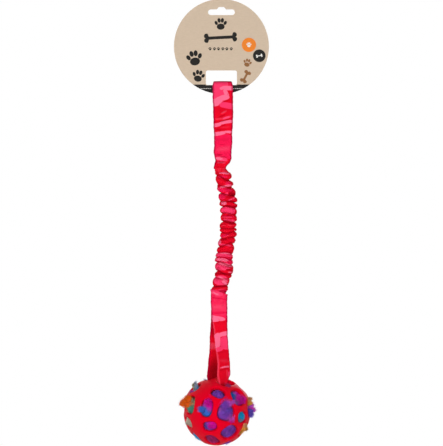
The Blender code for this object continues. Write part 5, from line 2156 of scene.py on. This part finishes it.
@dataclass(frozen=True)
class Stitching:
    """Zigzag bar tacks of thread on a sewn strap end, front and back.

    Attributes:
        name: start of the pieces' names.
        nodes: start of the CAD nodes' names.
        body: body that they ride on.
        x, drop: middle of the tack in millimetres.
        width, height: its size.
        surface: distance of the strap's faces from the middle plane.
        waves, thread: number of zigzags and radius of the thread.
    """

    name: str
    nodes: str
    body: str
    x: float
    drop: float
    width: float
    height: float
    surface: float
    waves: int = 9
    thread: float = 0.17

    def build(self, material: bpy.types.Material) -> None:
        """Carry a round thread along a rounded zigzag that dips at its turns.

        Args:
            material: the thread.
        """
        share = np.linspace(0, 1, self.waves * 16 + 1)
        wave = np.arcsin(0.96 * np.sin(2 * math.pi * self.waves * share)) / 1.29
        turn = turns(8)[:, None]
        for face, side in (("front", -1.0), ("back", 1.0)):
            y = side * (self.surface + 0.02 - 0.2 * np.abs(wave) ** 6)
            line = np.stack((self.x + self.width * (share - 0.5), y,
                             -self.drop + 0.5 * self.height * wave), 1)
            heading = unit(np.gradient(line, axis=0))
            out = unit(np.cross(heading, np.cross((0.0, 1.0, 0.0), heading)))
            aside = np.cross(heading, out)
            ring = np.cos(turn) * out[:, None] + np.sin(turn) * aside[:, None]
            obj = make_sweep(f"{self.name}_{face}", (line[:, None] + self.thread * ring) * MM)
            dress(obj, material)
            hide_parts(f"{self.nodes}_{face}")
            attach(obj, self.body)


@dataclass(frozen=True)
class Studio:
    """Pale floor, plain soft lamps and the camera square to the card.

    Attributes:
        middle: the place that the camera and the lamps face.
        view_height: what the camera takes in there.
        lens: its focal length in millimetres.
        floor_z, floor_radius, floor_corners: the round floor's height and size.
    """

    middle: Row = (0.0001, 0.0, -0.2419)
    view_height: float = 0.4995
    lens: float = 1200.0
    floor_z: float = -0.66
    floor_radius: float = 6.0
    floor_corners: int = 64

    def stand(self, data: bpy.types.ID, place: Row) -> bpy.types.Object:
        """Add a lamp or a camera to the scene, under its data's name.

        Args:
            data: the lamp or camera.
            place: where it stands.

        Returns:
            The object, not turned yet.
        """
        obj = bpy.data.objects.new(data.name, data)
        obj.location = place
        bpy.context.scene.collection.objects.link(obj)
        return obj

    def camera(self) -> None:
        """Place the camera level in front of the toy."""
        data = bpy.data.cameras.new("camera")
        data.lens = self.lens
        distance = self.view_height * self.lens / data.sensor_width
        obj = self.stand(data, (self.middle[0], -distance, self.middle[2]))
        obj.rotation_euler = (0.5 * math.pi, 0.0, 0.0)
        bpy.context.scene.camera = obj

    def lamp(self, name: str, place: Row, size: float, power: float) -> None:
        """Hang a square soft lamp that faces the toy's middle.

        Args:
            name: its name.
            place: where it hangs.
            size: its side.
            power: its power in watts.
        """
        data = bpy.data.lights.new(name, "AREA")
        data.size, data.energy = size, power
        aim = Vector(self.middle) - Vector(place)
        self.stand(data, place).rotation_euler = aim.to_track_quat("-Z", "Y").to_euler()

    def sky(self, strength: float) -> None:
        """Make the world: white where it is seen, an even grey where it lights.

        Args:
            strength: how strongly it lights.
        """
        world = bpy.data.worlds.new("studio")
        world.use_nodes = True
        nodes = NodeTree(world.node_tree)
        back = world.node_tree.nodes["Background"]
        back.inputs["Color"].default_value = (1, 1, 1, 1)
        path = nodes.add("LightPath").outputs
        seen = nodes.math("MAXIMUM", path["Is Camera Ray"], nodes.math(
            "MAXIMUM", path["Is Glossy Ray"], path["Is Transmission Ray"]))
        level = nodes.add("MapRange", {0: seen, 3: strength, 4: 1.0}).outputs[0]
        nodes.feed(level, back.inputs["Strength"])
        bpy.context.scene.world = world

    def floor(self) -> None:
        """Lay a pale floor that fades to white away from the toy."""
        turn = turns(self.floor_corners)
        points = np.stack((self.floor_radius * np.cos(turn), self.floor_radius * np.sin(turn),
                           0 * turn + self.floor_z), 1)
        obj = make_piece("floor", points, [list(range(self.floor_corners))])
        if obj.data.polygons[0].normal.z < 0:
            obj.data.flip_normals()
        material = bpy.data.materials.new("pale_floor")
        material.use_nodes = True
        nodes = NodeTree(material.node_tree)
        shader = material.node_tree.nodes["Principled BSDF"]
        shader.inputs["Base Color"].default_value = tint(242, 242, 242)
        shader.inputs["Roughness"].default_value = 0.8
        flat = nodes.add("VectorMath", {0: nodes.place(), 1: (1, 1, 0)}, operation="MULTIPLY")
        away = nodes.add("VectorMath", {0: flat.outputs[0]}, operation="LENGTH")
        fade = nodes.add("MapRange", {0: away.outputs["Value"], 1: 0.10, 2: 0.30, 3: 0.45},
                         interpolation_type="SMOOTHSTEP").outputs[0]
        seen = nodes.math("MULTIPLY", fade, nodes.add("LightPath").outputs["Is Camera Ray"])
        white = nodes.add("Emission", {"Color": (1, 1, 1, 1), "Strength": 1.0}).outputs[0]
        mixed = nodes.add("MixShader", {0: seen, 1: shader.outputs[0], 2: white}).outputs[0]
        nodes.feed(mixed, material.node_tree.nodes["Material Output"].inputs["Surface"])
        obj.data.materials.append(material)

    def build(self) -> None:
        """Set the stage."""
        bpy.context.scene.view_settings.view_transform = "Standard"
        self.camera()
        self.sky(0.3)
        self.lamp("key", (-0.6, -1.8, -0.3), 0.8, 18.5)
        self.lamp("fill", (1.0, -1.8, -0.6), 0.9, 18.0)
        self.lamp("back", (0.4, 1.9, 0.4), 0.9, 18.0)
        self.floor()


def main() -> None:
    """Load the frame and dress every sub-assembly in order."""
    logging.basicConfig(level=logging.INFO, format="%(name)s: %(message)s")
    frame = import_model()
    nodes = frame["nodes"]
    strap_cloth = ClothFinish("printed_strap").build()
    sleeve_cloth = ClothFinish("printed_sleeve").build()
    thread = PlainFinish("sewing_thread", tint(246, 44, 96), tint(226, 24, 74), 0.6, 900.0,
                         0.1 * MM, 3.0).build()

    HangCard().build(nodes)
    HandleStrap().build(strap_cloth)
    Stitching("handle_stitch", "handle_tack", "handle", 0.0, 174.2, 9.0, 2.4, 2.75).build(
        thread)
    Bungee().build(sleeve_cloth, strap_cloth)
    ball = BallFrame()
    BallStrap(ball).build(strap_cloth)
    Stitching("strap_stitch", "loop_tack", "loop", -2.88, 334.2, 12.0, 2.2, 2.3).build(thread)
    lattice = Lattice(ball)
    lattice.build(RubberFinish().build())
    PlushBall(lattice).build()
    plastic = PlainFinish("squeaker_plastic", tint(236, 238, 240), tint(220, 224, 228), 0.4,
                          200.0, 0.05 * MM).build()
    for name in ("squeaker_drum", "squeaker_reed"):
        dress(nodes[name], plastic)
    Studio().build()


if __name__ == "__main__":
    main()
